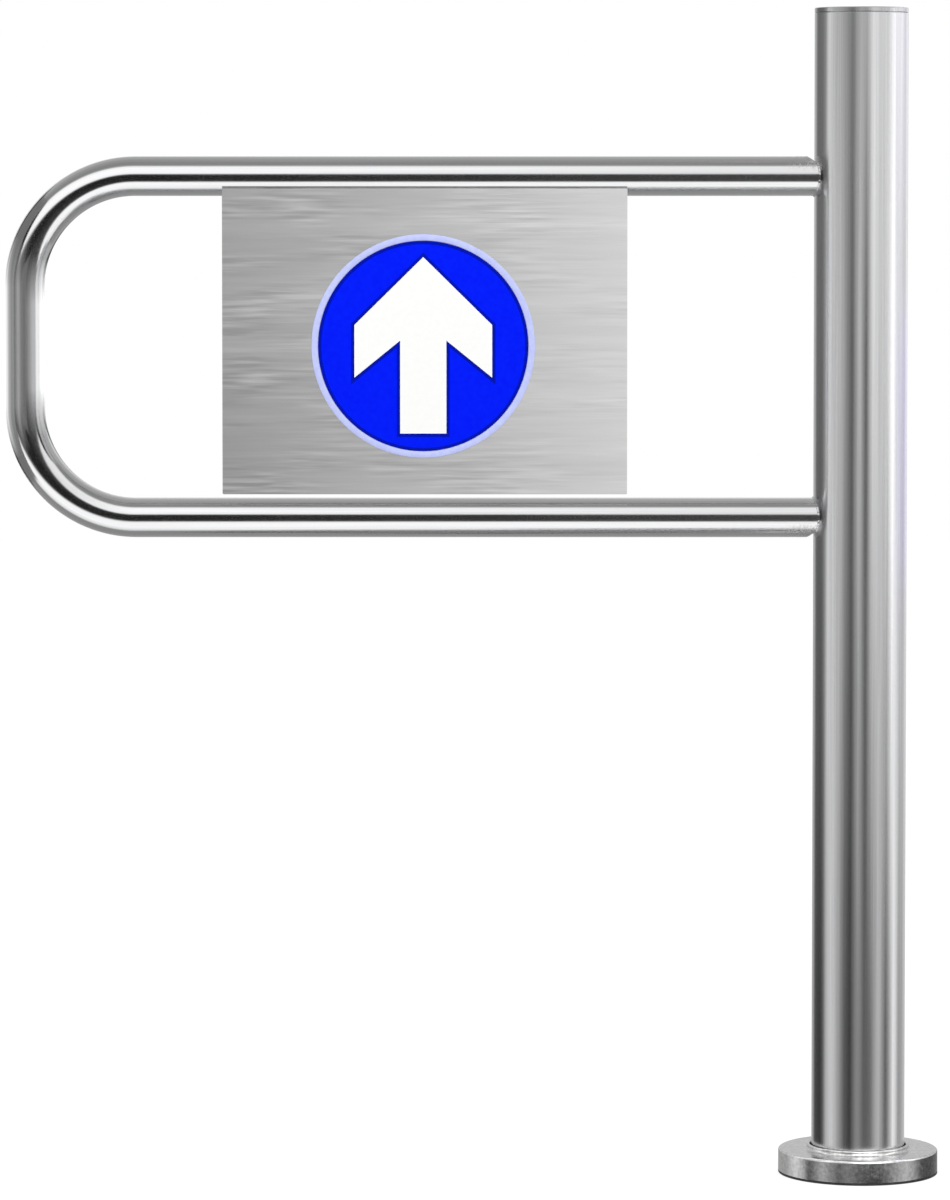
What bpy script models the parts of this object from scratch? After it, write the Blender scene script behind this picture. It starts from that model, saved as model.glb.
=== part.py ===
"""Swing barrier gate: a fixed mast inside a turning post, a U-shaped arm and a cam-and-spring return.

Metres, +Z up. The origin is on the post's axis at floor level. The arm points along -X and its
sign faces -Y. The post turns on two ball bearings and opens by a quarter turn away from -Y.
A sleeve keyed inside the post climbs a helical cam on the mast's head as the gate opens, and
the spring above it drives the gate shut again.
"""
import math

import bmesh
import bpy
from mathutils import Matrix, Vector

# Fits and facets
SEAT_GAP = 0.0003
CUT_OVERRUN = 0.002
WELD_DISTANCE = 0.00001
SHARP_ANGLE = math.radians(32)
ROUND_SIDES = 48
BEARING_SIDES = 32
BOLT_SIDES = 12
ROUNDING_STEPS = 3
FULL_TURN = 2 * math.pi
HALF_TURN = math.pi
QUARTER_TURN = math.pi / 2

# Post and how far it opens
GATE_HEIGHT = 0.950
POST_DIAMETER = 0.076
POST_WALL = 0.002
SWING_ANGLE = QUARTER_TURN
ARM_HEADING = HALF_TURN

# Top cap
CAP_RIM_HEIGHT = 0.004
CAP_TOP_THICKNESS = 0.003
CAP_EDGE_RADIUS = 0.0007
CAP_SKIRT_DEPTH = 0.018
CAP_SKIRT_WALL = 0.0018

# Base plate, its cover and the rubber ring under the cover
BASE_PLATE_DIAMETER = 0.124
BASE_PLATE_THICKNESS = 0.006
COVER_FIT = 0.0005
COVER_WALL = 0.0025
COVER_EDGE_RADIUS = 0.0028
COVER_HEADROOM = 0.0011
COVER_BORE_CLEARANCE = 0.0012
GASKET_THICKNESS = 0.0015

# Floor anchors
ANCHOR_COUNT = 4
ANCHOR_DIAMETER = 0.008
ANCHOR_HOLE_CLEARANCE = 0.001
ANCHOR_EDGE_MARGIN = 0.004
ANCHOR_TIP = 0.0015
ANCHOR_NUT_ACROSS_FLATS = 0.013
ANCHOR_NUT_HEIGHT = 0.0065
WASHER_DIAMETER = 0.016
WASHER_THICKNESS = 0.0016

# Mast and the collar at its foot
MAST_DIAMETER = 0.040
MAST_WALL = 0.004
MAST_HEAD_SETBACK = 0.001
COLLAR_HEIGHT = 0.030
COLLAR_FLARE = 0.007
COLLAR_FLARE_HEIGHT = 0.010

# Ball bearings and the housings that seat them in the post
BEARING_WIDTH = 0.015
BALL_COUNT = 10
BALL_SEGMENTS = 8
BALL_RINGS = 5
BALL_RADIUS_SHARE = 0.29
SHOULDER_SHARE = 0.28
CAGE_THICKNESS_SHARE = 0.12
CAGE_WIDTH_SHARE = 0.5
GROOVE_STEPS = 3
HOUSING_WALL = 0.0014
HOUSING_LIP = 0.003

# Circlip over the upper bearing
CIRCLIP_THICKNESS = 0.00175
CIRCLIP_GROOVE_DEPTH = 0.0015
CIRCLIP_WIDTH = 0.004
CIRCLIP_EAR = 0.0015
CIRCLIP_OPENING = math.radians(24)
CIRCLIP_EAR_ANGLE = math.radians(14)

# Stop ring on the mast, its rubber buffers and the lug inside the post
STOP_RING_CLEARANCE = 0.008
STOP_HEIGHT = 0.012
STOP_HUB_WALL = 0.006
STOP_RUNNING_CLEARANCE = 0.0025
STOP_LUG_WIDTH = 0.013
STOP_LUG_CLEARANCE = 0.0012
BUFFER_THICKNESS = 0.005
STOP_SCREW_DIAMETER = 0.006
STOP_SCREW_SETBACK = 0.0006

# Helical cam on the mast's head and the keyed sleeve that climbs it
CAM_RISE = 0.012
CAM_SLEEVE = 0.030
CAM_RUNNING_CLEARANCE = 0.003
CAM_LOBES = 2
CAM_VALLEY_SHARE = 1 / 3
CAM_DROP_SHARE = 1 / 90
FOLLOWER_LAG_SHARE = 1 / 60
CAM_RAMP_STEPS = 18
CAM_FLAT_STEPS = 5
CAM_PIN_DIAMETER = 0.006
CAM_PIN_SETBACK = 0.0006
FOLLOWER_BODY = 0.014
FOLLOWER_CLEARANCE = 0.0008
FOLLOWER_OVERHANG = 0.004
KEY_WIDTH = 0.006
KEY_DEPTH = 0.006
KEY_COUNT = 2
KEY_MARGIN = 0.002
KEY_HEADING = 0.0

# Closing spring, its upper seat and the preload screw
SPRING_LENGTH = 0.075
SPRING_WIRE = 0.0065
SPRING_TURNS = 7
SPRING_END_GAP = 0.0006
SPRING_POINTS_PER_TURN = 12
SEAT_PLATE_THICKNESS = 0.005
SEAT_PLATE_CLEARANCE = 0.0025
SEAT_BOSS_HEIGHT = 0.006
SEAT_BOSS_CLEARANCE = 0.001
BRIDGE_DEPTH = 0.050
BRIDGE_THICKNESS = 0.010
PRELOAD_TRAVEL = 0.012
PRELOAD_SCREW_DIAMETER = 0.016
PRELOAD_SCREW_TAIL = 0.006
PRELOAD_SLOT_WIDTH = 0.002
PRELOAD_SLOT_DEPTH = 0.003
LOCKNUT_ACROSS_FLATS = 0.024
LOCKNUT_HEIGHT = 0.008

# Arm
ARM_REACH = 0.695
ARM_DIAMETER = 0.032
ARM_WALL = 0.0015
ARM_BEND_RADIUS = 0.090
ARM_BEND_STEPS = 9
ARM_BEVEL_RESOLUTION = 8
UPPER_RAIL_DROP = 0.136
RAIL_SPACING = 0.2775
RAIL_END_TAPER = 0.008
RAIL_END_SHARE = 0.87

# Panel and the hangers behind it
PANEL_WIDTH = 0.328
PANEL_POST_GAP = 0.152
PANEL_THICKNESS = 0.002
PANEL_LAP = 0.0060
PANEL_LOWER_GAP = 0.0037
PANEL_EDGE_BREAK = 0.0004
HANGER_WIDTH = 0.025
HANGER_THICKNESS = 0.003
HANGER_LENGTH = 0.070
HANGER_INSET = 0.045
HANGER_EDGE = 0.012
PANEL_STUD_DIAMETER = 0.005
PANEL_STUD_TIP = 0.0015
PANEL_STUDS_PER_HANGER = 2
PANEL_NUT_ACROSS_FLATS = 0.008
PANEL_NUT_HEIGHT = 0.004

# Sign: a round film with a pale border and an arrow, in shares of the disc's radius
SIGN_DIAMETER = 0.181
SIGN_ASIDE = 0.0012
SIGN_RAISE = 0.0012
SIGN_BORDER = 0.005
FILM_THICKNESS = 0.0004
SIGN_SIDES = 48
ARROW_TIP_SHARE = 0.845
ARROW_HEAD_HALF_WIDTH_SHARE = 0.655
ARROW_BARB_TOP_SHARE = 0.20
ARROW_BARB_FOOT_SHARE = -0.30
ARROW_NOTCH_SHARE = 0.052
ARROW_STEM_HALF_WIDTH_SHARE = 0.220
ARROW_TAIL_SHARE = -0.832

# Finishes: colour, roughness and metallic value
POLISHED_STEEL = ((0.60, 0.60, 0.61), 0.14, 1.0)
BRUSHED_STEEL = ((0.50, 0.50, 0.50), 0.34, 1.0)
ZINC_PLATED_STEEL = ((0.46, 0.47, 0.49), 0.40, 1.0)
BEARING_STEEL = ((0.52, 0.53, 0.55), 0.20, 1.0)
SPRING_STEEL = ((0.16, 0.17, 0.19), 0.42, 1.0)
MILD_STEEL = ((0.30, 0.31, 0.32), 0.50, 1.0)
ACETAL = ((0.82, 0.81, 0.76), 0.45, 0.0)
BLACK_RUBBER = ((0.02, 0.02, 0.02), 0.80, 0.0)
BLUE_FILM = ((0.002, 0.015, 0.87), 0.30, 0.0)
WHITE_FILM = ((0.92, 0.92, 0.92), 0.30, 0.0)
PALE_BLUE_FILM = ((0.50, 0.51, 0.97), 0.30, 0.0)

# Radii worked out from the sizes above
POST_RADIUS = POST_DIAMETER / 2
POST_INNER = POST_RADIUS - POST_WALL
MAST_RADIUS = MAST_DIAMETER / 2
ARM_RADIUS = ARM_DIAMETER / 2
BASE_PLATE_RADIUS = BASE_PLATE_DIAMETER / 2
COVER_RADIUS = BASE_PLATE_RADIUS + COVER_FIT + COVER_WALL
ANCHOR_CIRCLE_RADIUS = BASE_PLATE_RADIUS - ANCHOR_EDGE_MARGIN - WASHER_DIAMETER / 2
BEARING_BORE = MAST_RADIUS + SEAT_GAP
BEARING_OUTER = POST_INNER - SEAT_GAP - HOUSING_WALL - SEAT_GAP
BEARING_SECTION = BEARING_OUTER - BEARING_BORE
PITCH_RADIUS = (BEARING_OUTER + BEARING_BORE) / 2
BALL_RADIUS = BEARING_SECTION * BALL_RADIUS_SHARE
INNER_SHOULDER = BEARING_BORE + BEARING_SECTION * SHOULDER_SHARE
OUTER_SHOULDER = BEARING_OUTER - BEARING_SECTION * SHOULDER_SHARE
STOP_HUB_RADIUS = MAST_RADIUS + SEAT_GAP + STOP_HUB_WALL
STOP_OUTER = POST_INNER - STOP_RUNNING_CLEARANCE
STOP_INNER = STOP_HUB_RADIUS + STOP_LUG_CLEARANCE
CAM_OUTER = POST_INNER - CAM_RUNNING_CLEARANCE
FOLLOWER_BORE = MAST_RADIUS - FOLLOWER_OVERHANG
FOLLOWER_OUTER = POST_INNER - FOLLOWER_CLEARANCE
KEY_INNER = POST_INNER - SEAT_GAP - KEY_DEPTH
SPRING_RADIUS = (FOLLOWER_BORE + KEY_INNER) / 2

# Heights of the pieces at the foot, from the floor up
BASE_PLATE_TOP = BASE_PLATE_THICKNESS
WASHER_BOTTOM = BASE_PLATE_TOP + SEAT_GAP
ANCHOR_NUT_BOTTOM = WASHER_BOTTOM + WASHER_THICKNESS + SEAT_GAP
ANCHOR_TOP = ANCHOR_NUT_BOTTOM + ANCHOR_NUT_HEIGHT + ANCHOR_TIP
COVER_BOTTOM = GASKET_THICKNESS + SEAT_GAP
COVER_HEIGHT = ANCHOR_TOP + COVER_HEADROOM + COVER_WALL - COVER_BOTTOM
POST_BOTTOM = ANCHOR_TOP + COVER_HEADROOM / 2
COLLAR_BOTTOM = BASE_PLATE_TOP + SEAT_GAP
LOWER_BEARING_BOTTOM = COLLAR_BOTTOM + COLLAR_HEIGHT + SEAT_GAP
LOWER_LIP_BOTTOM = LOWER_BEARING_BOTTOM + BEARING_WIDTH + SEAT_GAP
STOP_BOTTOM = LOWER_LIP_BOTTOM + HOUSING_LIP + STOP_RING_CLEARANCE

# Heights of the pieces in the head, from the post's top down
POST_TOP = GATE_HEIGHT - CAP_RIM_HEIGHT - SEAT_GAP
BRIDGE_BOTTOM = POST_TOP - BRIDGE_DEPTH - BRIDGE_THICKNESS
SEAT_PLATE_BOTTOM = BRIDGE_BOTTOM - PRELOAD_TRAVEL - SEAT_PLATE_THICKNESS
SPRING_BOTTOM = SEAT_PLATE_BOTTOM - SEAT_GAP - SPRING_LENGTH
FOLLOWER_TOP = SPRING_BOTTOM - SEAT_GAP
FOLLOWER_ROOT = FOLLOWER_TOP - FOLLOWER_BODY
CAM_TOP = FOLLOWER_ROOT - SEAT_GAP
CAM_VALLEY = CAM_TOP - CAM_RISE
MAST_TOP = CAM_VALLEY - MAST_HEAD_SETBACK
CAM_BOTTOM = MAST_TOP - CAM_SLEEVE
PIN_HEIGHT = CAM_BOTTOM + CAM_SLEEVE / 2
CIRCLIP_BOTTOM = CAM_BOTTOM - SEAT_GAP - CIRCLIP_THICKNESS
UPPER_BEARING_BOTTOM = CIRCLIP_BOTTOM - SEAT_GAP - BEARING_WIDTH
UPPER_LIP_BOTTOM = UPPER_BEARING_BOTTOM - SEAT_GAP - HOUSING_LIP

# Arm and panel places
UPPER_RAIL = GATE_HEIGHT - UPPER_RAIL_DROP
LOWER_RAIL = UPPER_RAIL - RAIL_SPACING
ARM_END = ARM_REACH - ARM_RADIUS
PANEL_RIGHT = -(POST_RADIUS + PANEL_POST_GAP)
PANEL_LEFT = PANEL_RIGHT - PANEL_WIDTH
PANEL_TOP = UPPER_RAIL - ARM_RADIUS + PANEL_LAP
PANEL_BOTTOM = LOWER_RAIL + ARM_RADIUS + PANEL_LOWER_GAP
PANEL_BACK = math.sqrt(ARM_RADIUS ** 2 - (ARM_RADIUS - PANEL_LAP) ** 2) + SEAT_GAP
PANEL_FRONT = PANEL_BACK + PANEL_THICKNESS
SIGN_CENTRE_X = (PANEL_LEFT + PANEL_RIGHT) / 2 - SIGN_ASIDE
SIGN_CENTRE_Z = (UPPER_RAIL + LOWER_RAIL) / 2 + SIGN_RAISE


def clear_scene():
    """Start from an empty scene."""
    for thing in list(bpy.data.objects):
        bpy.data.objects.remove(thing, do_unlink=True)


def new_collection(name):
    """A collection linked to the scene."""
    collection = bpy.data.collections.new(name)
    bpy.context.scene.collection.children.link(collection)
    return collection


def new_axis(name, parent=None):
    """An empty on the post's axis that carries the pieces of one moving body."""
    axis = bpy.data.objects.new(name, None)
    axis.parent = parent
    gate_parts.objects.link(axis)
    return axis


def new_material(name, finish):
    """A Principled material with one colour, roughness and metallic value."""
    colour, roughness, metallic = finish
    material = bpy.data.materials.new(name)
    material.use_nodes = True
    shader = material.node_tree.nodes["Principled BSDF"]
    shader.inputs["Base Color"].default_value = (*colour, 1.0)
    shader.inputs["Roughness"].default_value = roughness
    shader.inputs["Metallic"].default_value = metallic
    return material


def new_piece(name, mesh, finish, body, at=(0.0, 0.0, 0.0), turn=(0.0, 0.0, 0.0)):
    """One named piece of the gate, placed on the body that carries it."""
    piece = bpy.data.objects.new(name, mesh)
    piece.location = at
    piece.rotation_euler = turn
    piece.parent = body
    piece.data.materials.append(new_material(name + "_finish", finish))
    gate_parts.objects.link(piece)
    return piece


def new_cutter(name, mesh, at=(0.0, 0.0, 0.0), turn=(0.0, 0.0, 0.0)):
    """A hidden solid that cuts a piece or is joined to it."""
    cutter = bpy.data.objects.new(name, mesh)
    cutter.location = at
    cutter.rotation_euler = turn
    cutter.hide_render = True
    cutter.display_type = "WIRE"
    cutters.objects.link(cutter)
    return cutter


def weld(mesh):
    """Close the seams of a mesh, point its faces outwards and shade its round faces smooth."""
    work = bmesh.new()
    work.from_mesh(mesh)
    bmesh.ops.remove_doubles(work, verts=work.verts, dist=WELD_DISTANCE)
    bmesh.ops.recalc_face_normals(work, faces=work.faces)
    work.to_mesh(mesh)
    work.free()
    mesh.shade_smooth()
    mesh.set_sharp_from_angle(angle=SHARP_ANGLE)


def evaluated_mesh(thing):
    """A mesh of what the viewport shows of an object, with its seams closed."""
    shown = thing.evaluated_get(bpy.context.evaluated_depsgraph_get())
    mesh = bpy.data.meshes.new_from_object(shown)
    weld(mesh)
    return mesh


def settle(piece):
    """Turn a piece's modifiers into its own mesh."""
    mesh = evaluated_mesh(piece)
    piece.modifiers.clear()
    piece.data = mesh


def combine(piece, other, operation):
    """Cut one solid out of a piece, or join it on."""
    boolean = piece.modifiers.new(operation.title(), "BOOLEAN")
    boolean.operation = operation
    boolean.object = other
    settle(piece)


def turned_mesh(name, profile, sides):
    """A profile turned about Z. It runs down the outer side, and closes unless it ends on the axis."""
    mesh = bpy.data.meshes.new(name)
    work = bmesh.new()
    points = [work.verts.new((radius, 0.0, height)) for radius, height in profile]
    for upper, lower in zip(points, points[1:]):
        work.edges.new((upper, lower))
    if profile[0][0] > 0.0:
        work.edges.new((points[-1], points[0]))
    work.to_mesh(mesh)
    work.free()
    lathe = bpy.data.objects.new(name, mesh)
    cutters.objects.link(lathe)
    screw = lathe.modifiers.new("Turn", "SCREW")
    screw.steps = sides
    screw.render_steps = sides
    screw.use_merge_vertices = True
    screw.merge_threshold = WELD_DISTANCE
    result = evaluated_mesh(lathe)
    bpy.data.objects.remove(lathe, do_unlink=True)
    return result


def curve_mesh(name, curve, modifiers=()):
    """The welded mesh of a curve, with any modifiers given as a kind and its settings."""
    wire = bpy.data.objects.new(name, curve)
    cutters.objects.link(wire)
    for kind, settings in modifiers:
        modifier = wire.modifiers.new(kind.title(), kind)
        for setting, value in settings.items():
            setattr(modifier, setting, value)
    result = evaluated_mesh(wire)
    bpy.data.objects.remove(wire, do_unlink=True)
    return result


def flat_mesh(name, outlines, thickness):
    """A flat plate on z = 0: the first outline is its edge and the others are holes."""
    curve = bpy.data.curves.new(name, "CURVE")
    curve.dimensions = "2D"
    curve.fill_mode = "BOTH"
    curve.extrude = thickness / 2
    for outline in outlines:
        spline = curve.splines.new("POLY")
        spline.points.add(len(outline) - 1)
        spline.use_cyclic_u = True
        for point, (x, y) in zip(spline.points, outline):
            point.co = (x, y, 0.0, 1.0)
    mesh = curve_mesh(name, curve)
    mesh.transform(Matrix.Translation((0.0, 0.0, thickness / 2)))
    return mesh


def tube_mesh(name, path, radius, resolution, filled, modifiers=()):
    """A round tube or wire along points given as (place, share of the radius)."""
    curve = bpy.data.curves.new(name, "CURVE")
    curve.dimensions = "3D"
    curve.bevel_depth = radius
    curve.bevel_resolution = resolution
    curve.use_fill_caps = filled
    spline = curve.splines.new("POLY")
    spline.points.add(len(path) - 1)
    for point, (place, share) in zip(spline.points, path):
        point.co = (*place, 1.0)
        point.radius = share
    return curve_mesh(name, curve, modifiers)


def block_mesh(name, size, lowest):
    """A rectangular block of the given size whose lowest corner is at the given place."""
    mesh = bpy.data.meshes.new(name)
    work = bmesh.new()
    centre = Vector(lowest) + Vector(size) / 2
    bmesh.ops.create_cube(work, size=1.0, matrix=Matrix.LocRotScale(centre, None, Vector(size)))
    work.to_mesh(mesh)
    work.free()
    weld(mesh)
    return mesh


def arc(radius, start, end, steps, centre=(0.0, 0.0)):
    """Points along an arc, both ends included."""
    return [
        (
            centre[0] + radius * math.cos(start + (end - start) * step / steps),
            centre[1] + radius * math.sin(start + (end - start) * step / steps),
        )
        for step in range(steps + 1)
    ]


def circle(radius, sides, centre=(0.0, 0.0)):
    """Points round a full circle."""
    return arc(radius, 0.0, FULL_TURN, sides, centre)[:-1]


def hexagon(across_flats):
    """The outline of a hexagonal nut."""
    return circle(across_flats / 2 / math.cos(HALF_TURN / 6), 6)


def ring_profile(inner, outer, height):
    """The section of a plain ring that stands on z = 0."""
    return [(outer, height), (outer, 0.0), (inner, 0.0), (inner, height)]


def bar_profile(radius, length):
    """The section of a plain round bar that stands on z = 0."""
    return [(0.0, length), (radius, length), (radius, 0.0), (0.0, 0.0)]


def rounded_edge(radius, height, rounding):
    """The rounded upper edge of a turned piece, from its top face to its side."""
    centre = (radius - rounding, height - rounding)
    return arc(rounding, QUARTER_TURN, 0.0, ROUNDING_STEPS, centre)


def on_circle(radius, angle, height):
    """A place at a radius and an angle about the post's axis."""
    return (radius * math.cos(angle), radius * math.sin(angle), height)


def build_base():
    """The floor plate, its cover and rubber ring, and the four anchors under the cover."""
    anchor_angles = [QUARTER_TURN / 2 + FULL_TURN * number / ANCHOR_COUNT for number in range(ANCHOR_COUNT)]
    anchor_radius = ANCHOR_DIAMETER / 2
    hole_radius = anchor_radius + ANCHOR_HOLE_CLEARANCE
    holes = [
        circle(hole_radius, BOLT_SIDES, on_circle(ANCHOR_CIRCLE_RADIUS, angle, 0.0)[:2])
        for angle in anchor_angles
    ]
    plate = flat_mesh("base_plate", [circle(BASE_PLATE_RADIUS, ROUND_SIDES)] + holes, BASE_PLATE_THICKNESS)
    new_piece("base_plate", plate, ZINC_PLATED_STEEL, base)

    cover_inner = COVER_RADIUS - COVER_WALL
    cover_bore = POST_RADIUS + COVER_BORE_CLEARANCE
    profile = [(cover_bore, COVER_HEIGHT)]
    profile += rounded_edge(COVER_RADIUS, COVER_HEIGHT, COVER_EDGE_RADIUS)
    profile += [(COVER_RADIUS, 0.0), (cover_inner, 0.0)]
    profile += [(cover_inner, COVER_HEIGHT - COVER_WALL), (cover_bore, COVER_HEIGHT - COVER_WALL)]
    cover = turned_mesh("base_cover", profile, ROUND_SIDES)
    new_piece("base_cover", cover, POLISHED_STEEL, base, (0.0, 0.0, COVER_BOTTOM))

    gasket = turned_mesh("base_gasket", ring_profile(cover_inner, COVER_RADIUS, GASKET_THICKNESS), ROUND_SIDES)
    new_piece("base_gasket", gasket, BLACK_RUBBER, base)

    stud = turned_mesh("anchor_stud", bar_profile(anchor_radius, ANCHOR_TOP), BOLT_SIDES)
    bore = anchor_radius + SEAT_GAP
    washer = turned_mesh("anchor_washer", ring_profile(bore, WASHER_DIAMETER / 2, WASHER_THICKNESS), BOLT_SIDES)
    nut_outlines = [hexagon(ANCHOR_NUT_ACROSS_FLATS), circle(bore, BOLT_SIDES)]
    nut = flat_mesh("anchor_nut", nut_outlines, ANCHOR_NUT_HEIGHT)
    for number, angle in enumerate(anchor_angles, start=1):
        facing = (0.0, 0.0, angle)
        new_piece(f"anchor_stud_{number}", stud.copy(), ZINC_PLATED_STEEL, base,
                  on_circle(ANCHOR_CIRCLE_RADIUS, angle, 0.0), facing)
        new_piece(f"anchor_washer_{number}", washer.copy(), ZINC_PLATED_STEEL, base,
                  on_circle(ANCHOR_CIRCLE_RADIUS, angle, WASHER_BOTTOM), facing)
        new_piece(f"anchor_nut_{number}", nut.copy(), ZINC_PLATED_STEEL, base,
                  on_circle(ANCHOR_CIRCLE_RADIUS, angle, ANCHOR_NUT_BOTTOM), facing)


def build_mast():
    """The fixed tube inside the post, with the collar that it stands in and the circlip at its head."""
    foot = BASE_PLATE_TOP + SEAT_GAP
    groove_radius = MAST_RADIUS - CIRCLIP_GROOVE_DEPTH
    groove_bottom = CIRCLIP_BOTTOM - SEAT_GAP - foot
    groove_top = CIRCLIP_BOTTOM + CIRCLIP_THICKNESS + SEAT_GAP - foot
    inner = MAST_RADIUS - MAST_WALL
    length = MAST_TOP - foot
    profile = [(MAST_RADIUS, length), (MAST_RADIUS, groove_top), (groove_radius, groove_top)]
    profile += [(groove_radius, groove_bottom), (MAST_RADIUS, groove_bottom), (MAST_RADIUS, 0.0)]
    profile += [(inner, 0.0), (inner, length)]
    mast = new_piece("mast_tube", turned_mesh("mast_tube", profile, BEARING_SIDES), MILD_STEEL, base,
                     (0.0, 0.0, foot))
    combine(mast, pin_cutter, "DIFFERENCE")

    collar_bore = MAST_RADIUS + SEAT_GAP
    flare = INNER_SHOULDER + COLLAR_FLARE
    profile = [(INNER_SHOULDER, COLLAR_HEIGHT), (INNER_SHOULDER, COLLAR_FLARE_HEIGHT), (flare, 0.0)]
    profile += [(collar_bore, 0.0), (collar_bore, COLLAR_HEIGHT)]
    collar = turned_mesh("mast_collar", profile, BEARING_SIDES)
    new_piece("mast_collar", collar, MILD_STEEL, base, (0.0, 0.0, COLLAR_BOTTOM))

    clip_inner = groove_radius + SEAT_GAP
    clip_outer = clip_inner + CIRCLIP_WIDTH
    ear_outer = clip_outer + CIRCLIP_EAR
    start = CIRCLIP_OPENING / 2
    end = FULL_TURN - start
    outline = arc(ear_outer, start, start + CIRCLIP_EAR_ANGLE, ROUNDING_STEPS)
    outline += arc(clip_outer, start + CIRCLIP_EAR_ANGLE, end - CIRCLIP_EAR_ANGLE, BEARING_SIDES)
    outline += arc(ear_outer, end - CIRCLIP_EAR_ANGLE, end, ROUNDING_STEPS)
    outline += arc(clip_inner, end, start, BEARING_SIDES)
    clip = flat_mesh("upper_bearing_circlip", [outline], CIRCLIP_THICKNESS)
    new_piece("upper_bearing_circlip", clip, SPRING_STEEL, base, (0.0, 0.0, CIRCLIP_BOTTOM))


def groove(centre_height, inward):
    """The ball groove's section: an arc about the ball's centre, on one ring's shoulder."""
    groove_radius = BALL_RADIUS + SEAT_GAP
    shoulder = INNER_SHOULDER if inward else OUTER_SHOULDER
    half_angle = math.acos(abs(PITCH_RADIUS - shoulder) / groove_radius)
    facing = HALF_TURN if inward else 0.0
    centre = (PITCH_RADIUS, centre_height)
    return arc(groove_radius, facing - half_angle, facing + half_angle, GROOVE_STEPS, centre)


def build_bearing(place, bottom, cage_axis):
    """One deep-groove ball bearing: an inner ring, an outer ring, and the balls in their cage."""
    middle = BEARING_WIDTH / 2
    profile = [(INNER_SHOULDER, BEARING_WIDTH)] + groove(middle, True)
    profile += [(INNER_SHOULDER, 0.0), (BEARING_BORE, 0.0), (BEARING_BORE, BEARING_WIDTH)]
    inner_ring = turned_mesh(f"{place}_bearing_inner_ring", profile, BEARING_SIDES)
    new_piece(f"{place}_bearing_inner_ring", inner_ring, BEARING_STEEL, base, (0.0, 0.0, bottom))

    profile = [(BEARING_OUTER, BEARING_WIDTH), (BEARING_OUTER, 0.0), (OUTER_SHOULDER, 0.0)]
    profile += groove(middle, False) + [(OUTER_SHOULDER, BEARING_WIDTH)]
    outer_ring = turned_mesh(f"{place}_bearing_outer_ring", profile, BEARING_SIDES)
    new_piece(f"{place}_bearing_outer_ring", outer_ring, BEARING_STEEL, gate, (0.0, 0.0, bottom))

    cage_half = BEARING_SECTION * CAGE_THICKNESS_SHARE / 2
    cage_width = BEARING_WIDTH * CAGE_WIDTH_SHARE
    ring = ring_profile(PITCH_RADIUS - cage_half, PITCH_RADIUS + cage_half, cage_width)
    cage = new_piece(f"{place}_ball_cage", turned_mesh(f"{place}_ball_cage", ring, BEARING_SIDES),
                     BEARING_STEEL, cage_axis, (0.0, 0.0, bottom + middle - cage_width / 2))
    balls = bpy.data.meshes.new(f"{place}_balls")
    work = bmesh.new()
    for number in range(BALL_COUNT):
        centre = on_circle(PITCH_RADIUS, FULL_TURN * number / BALL_COUNT, 0.0)
        bmesh.ops.create_uvsphere(work, u_segments=BALL_SEGMENTS, v_segments=BALL_RINGS,
                                  radius=BALL_RADIUS, matrix=Matrix.Translation(centre))
    work.to_mesh(balls)
    work.free()
    ball_set = new_cutter(f"{place}_ball_set", balls, (0.0, 0.0, bottom + middle))
    combine(cage, ball_set, "UNION")


def build_housing(place, bearing_bottom, lip_above):
    """The ring that seats a bearing in the post, with a lip on the side that takes the thrust."""
    inner = BEARING_OUTER + SEAT_GAP
    outer = POST_INNER - SEAT_GAP
    height = BEARING_WIDTH + SEAT_GAP + HOUSING_LIP
    if lip_above:
        lip = BEARING_WIDTH + SEAT_GAP
        bottom = bearing_bottom
        profile = [(outer, height), (outer, 0.0), (inner, 0.0), (inner, lip)]
        profile += [(OUTER_SHOULDER, lip), (OUTER_SHOULDER, height)]
    else:
        bottom = bearing_bottom - SEAT_GAP - HOUSING_LIP
        profile = [(outer, height), (outer, 0.0), (OUTER_SHOULDER, 0.0), (OUTER_SHOULDER, HOUSING_LIP)]
        profile += [(inner, HOUSING_LIP), (inner, height)]
    name = f"{place}_bearing_housing"
    new_piece(name, turned_mesh(name, profile, BEARING_SIDES), MILD_STEEL, gate, (0.0, 0.0, bottom))


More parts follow.
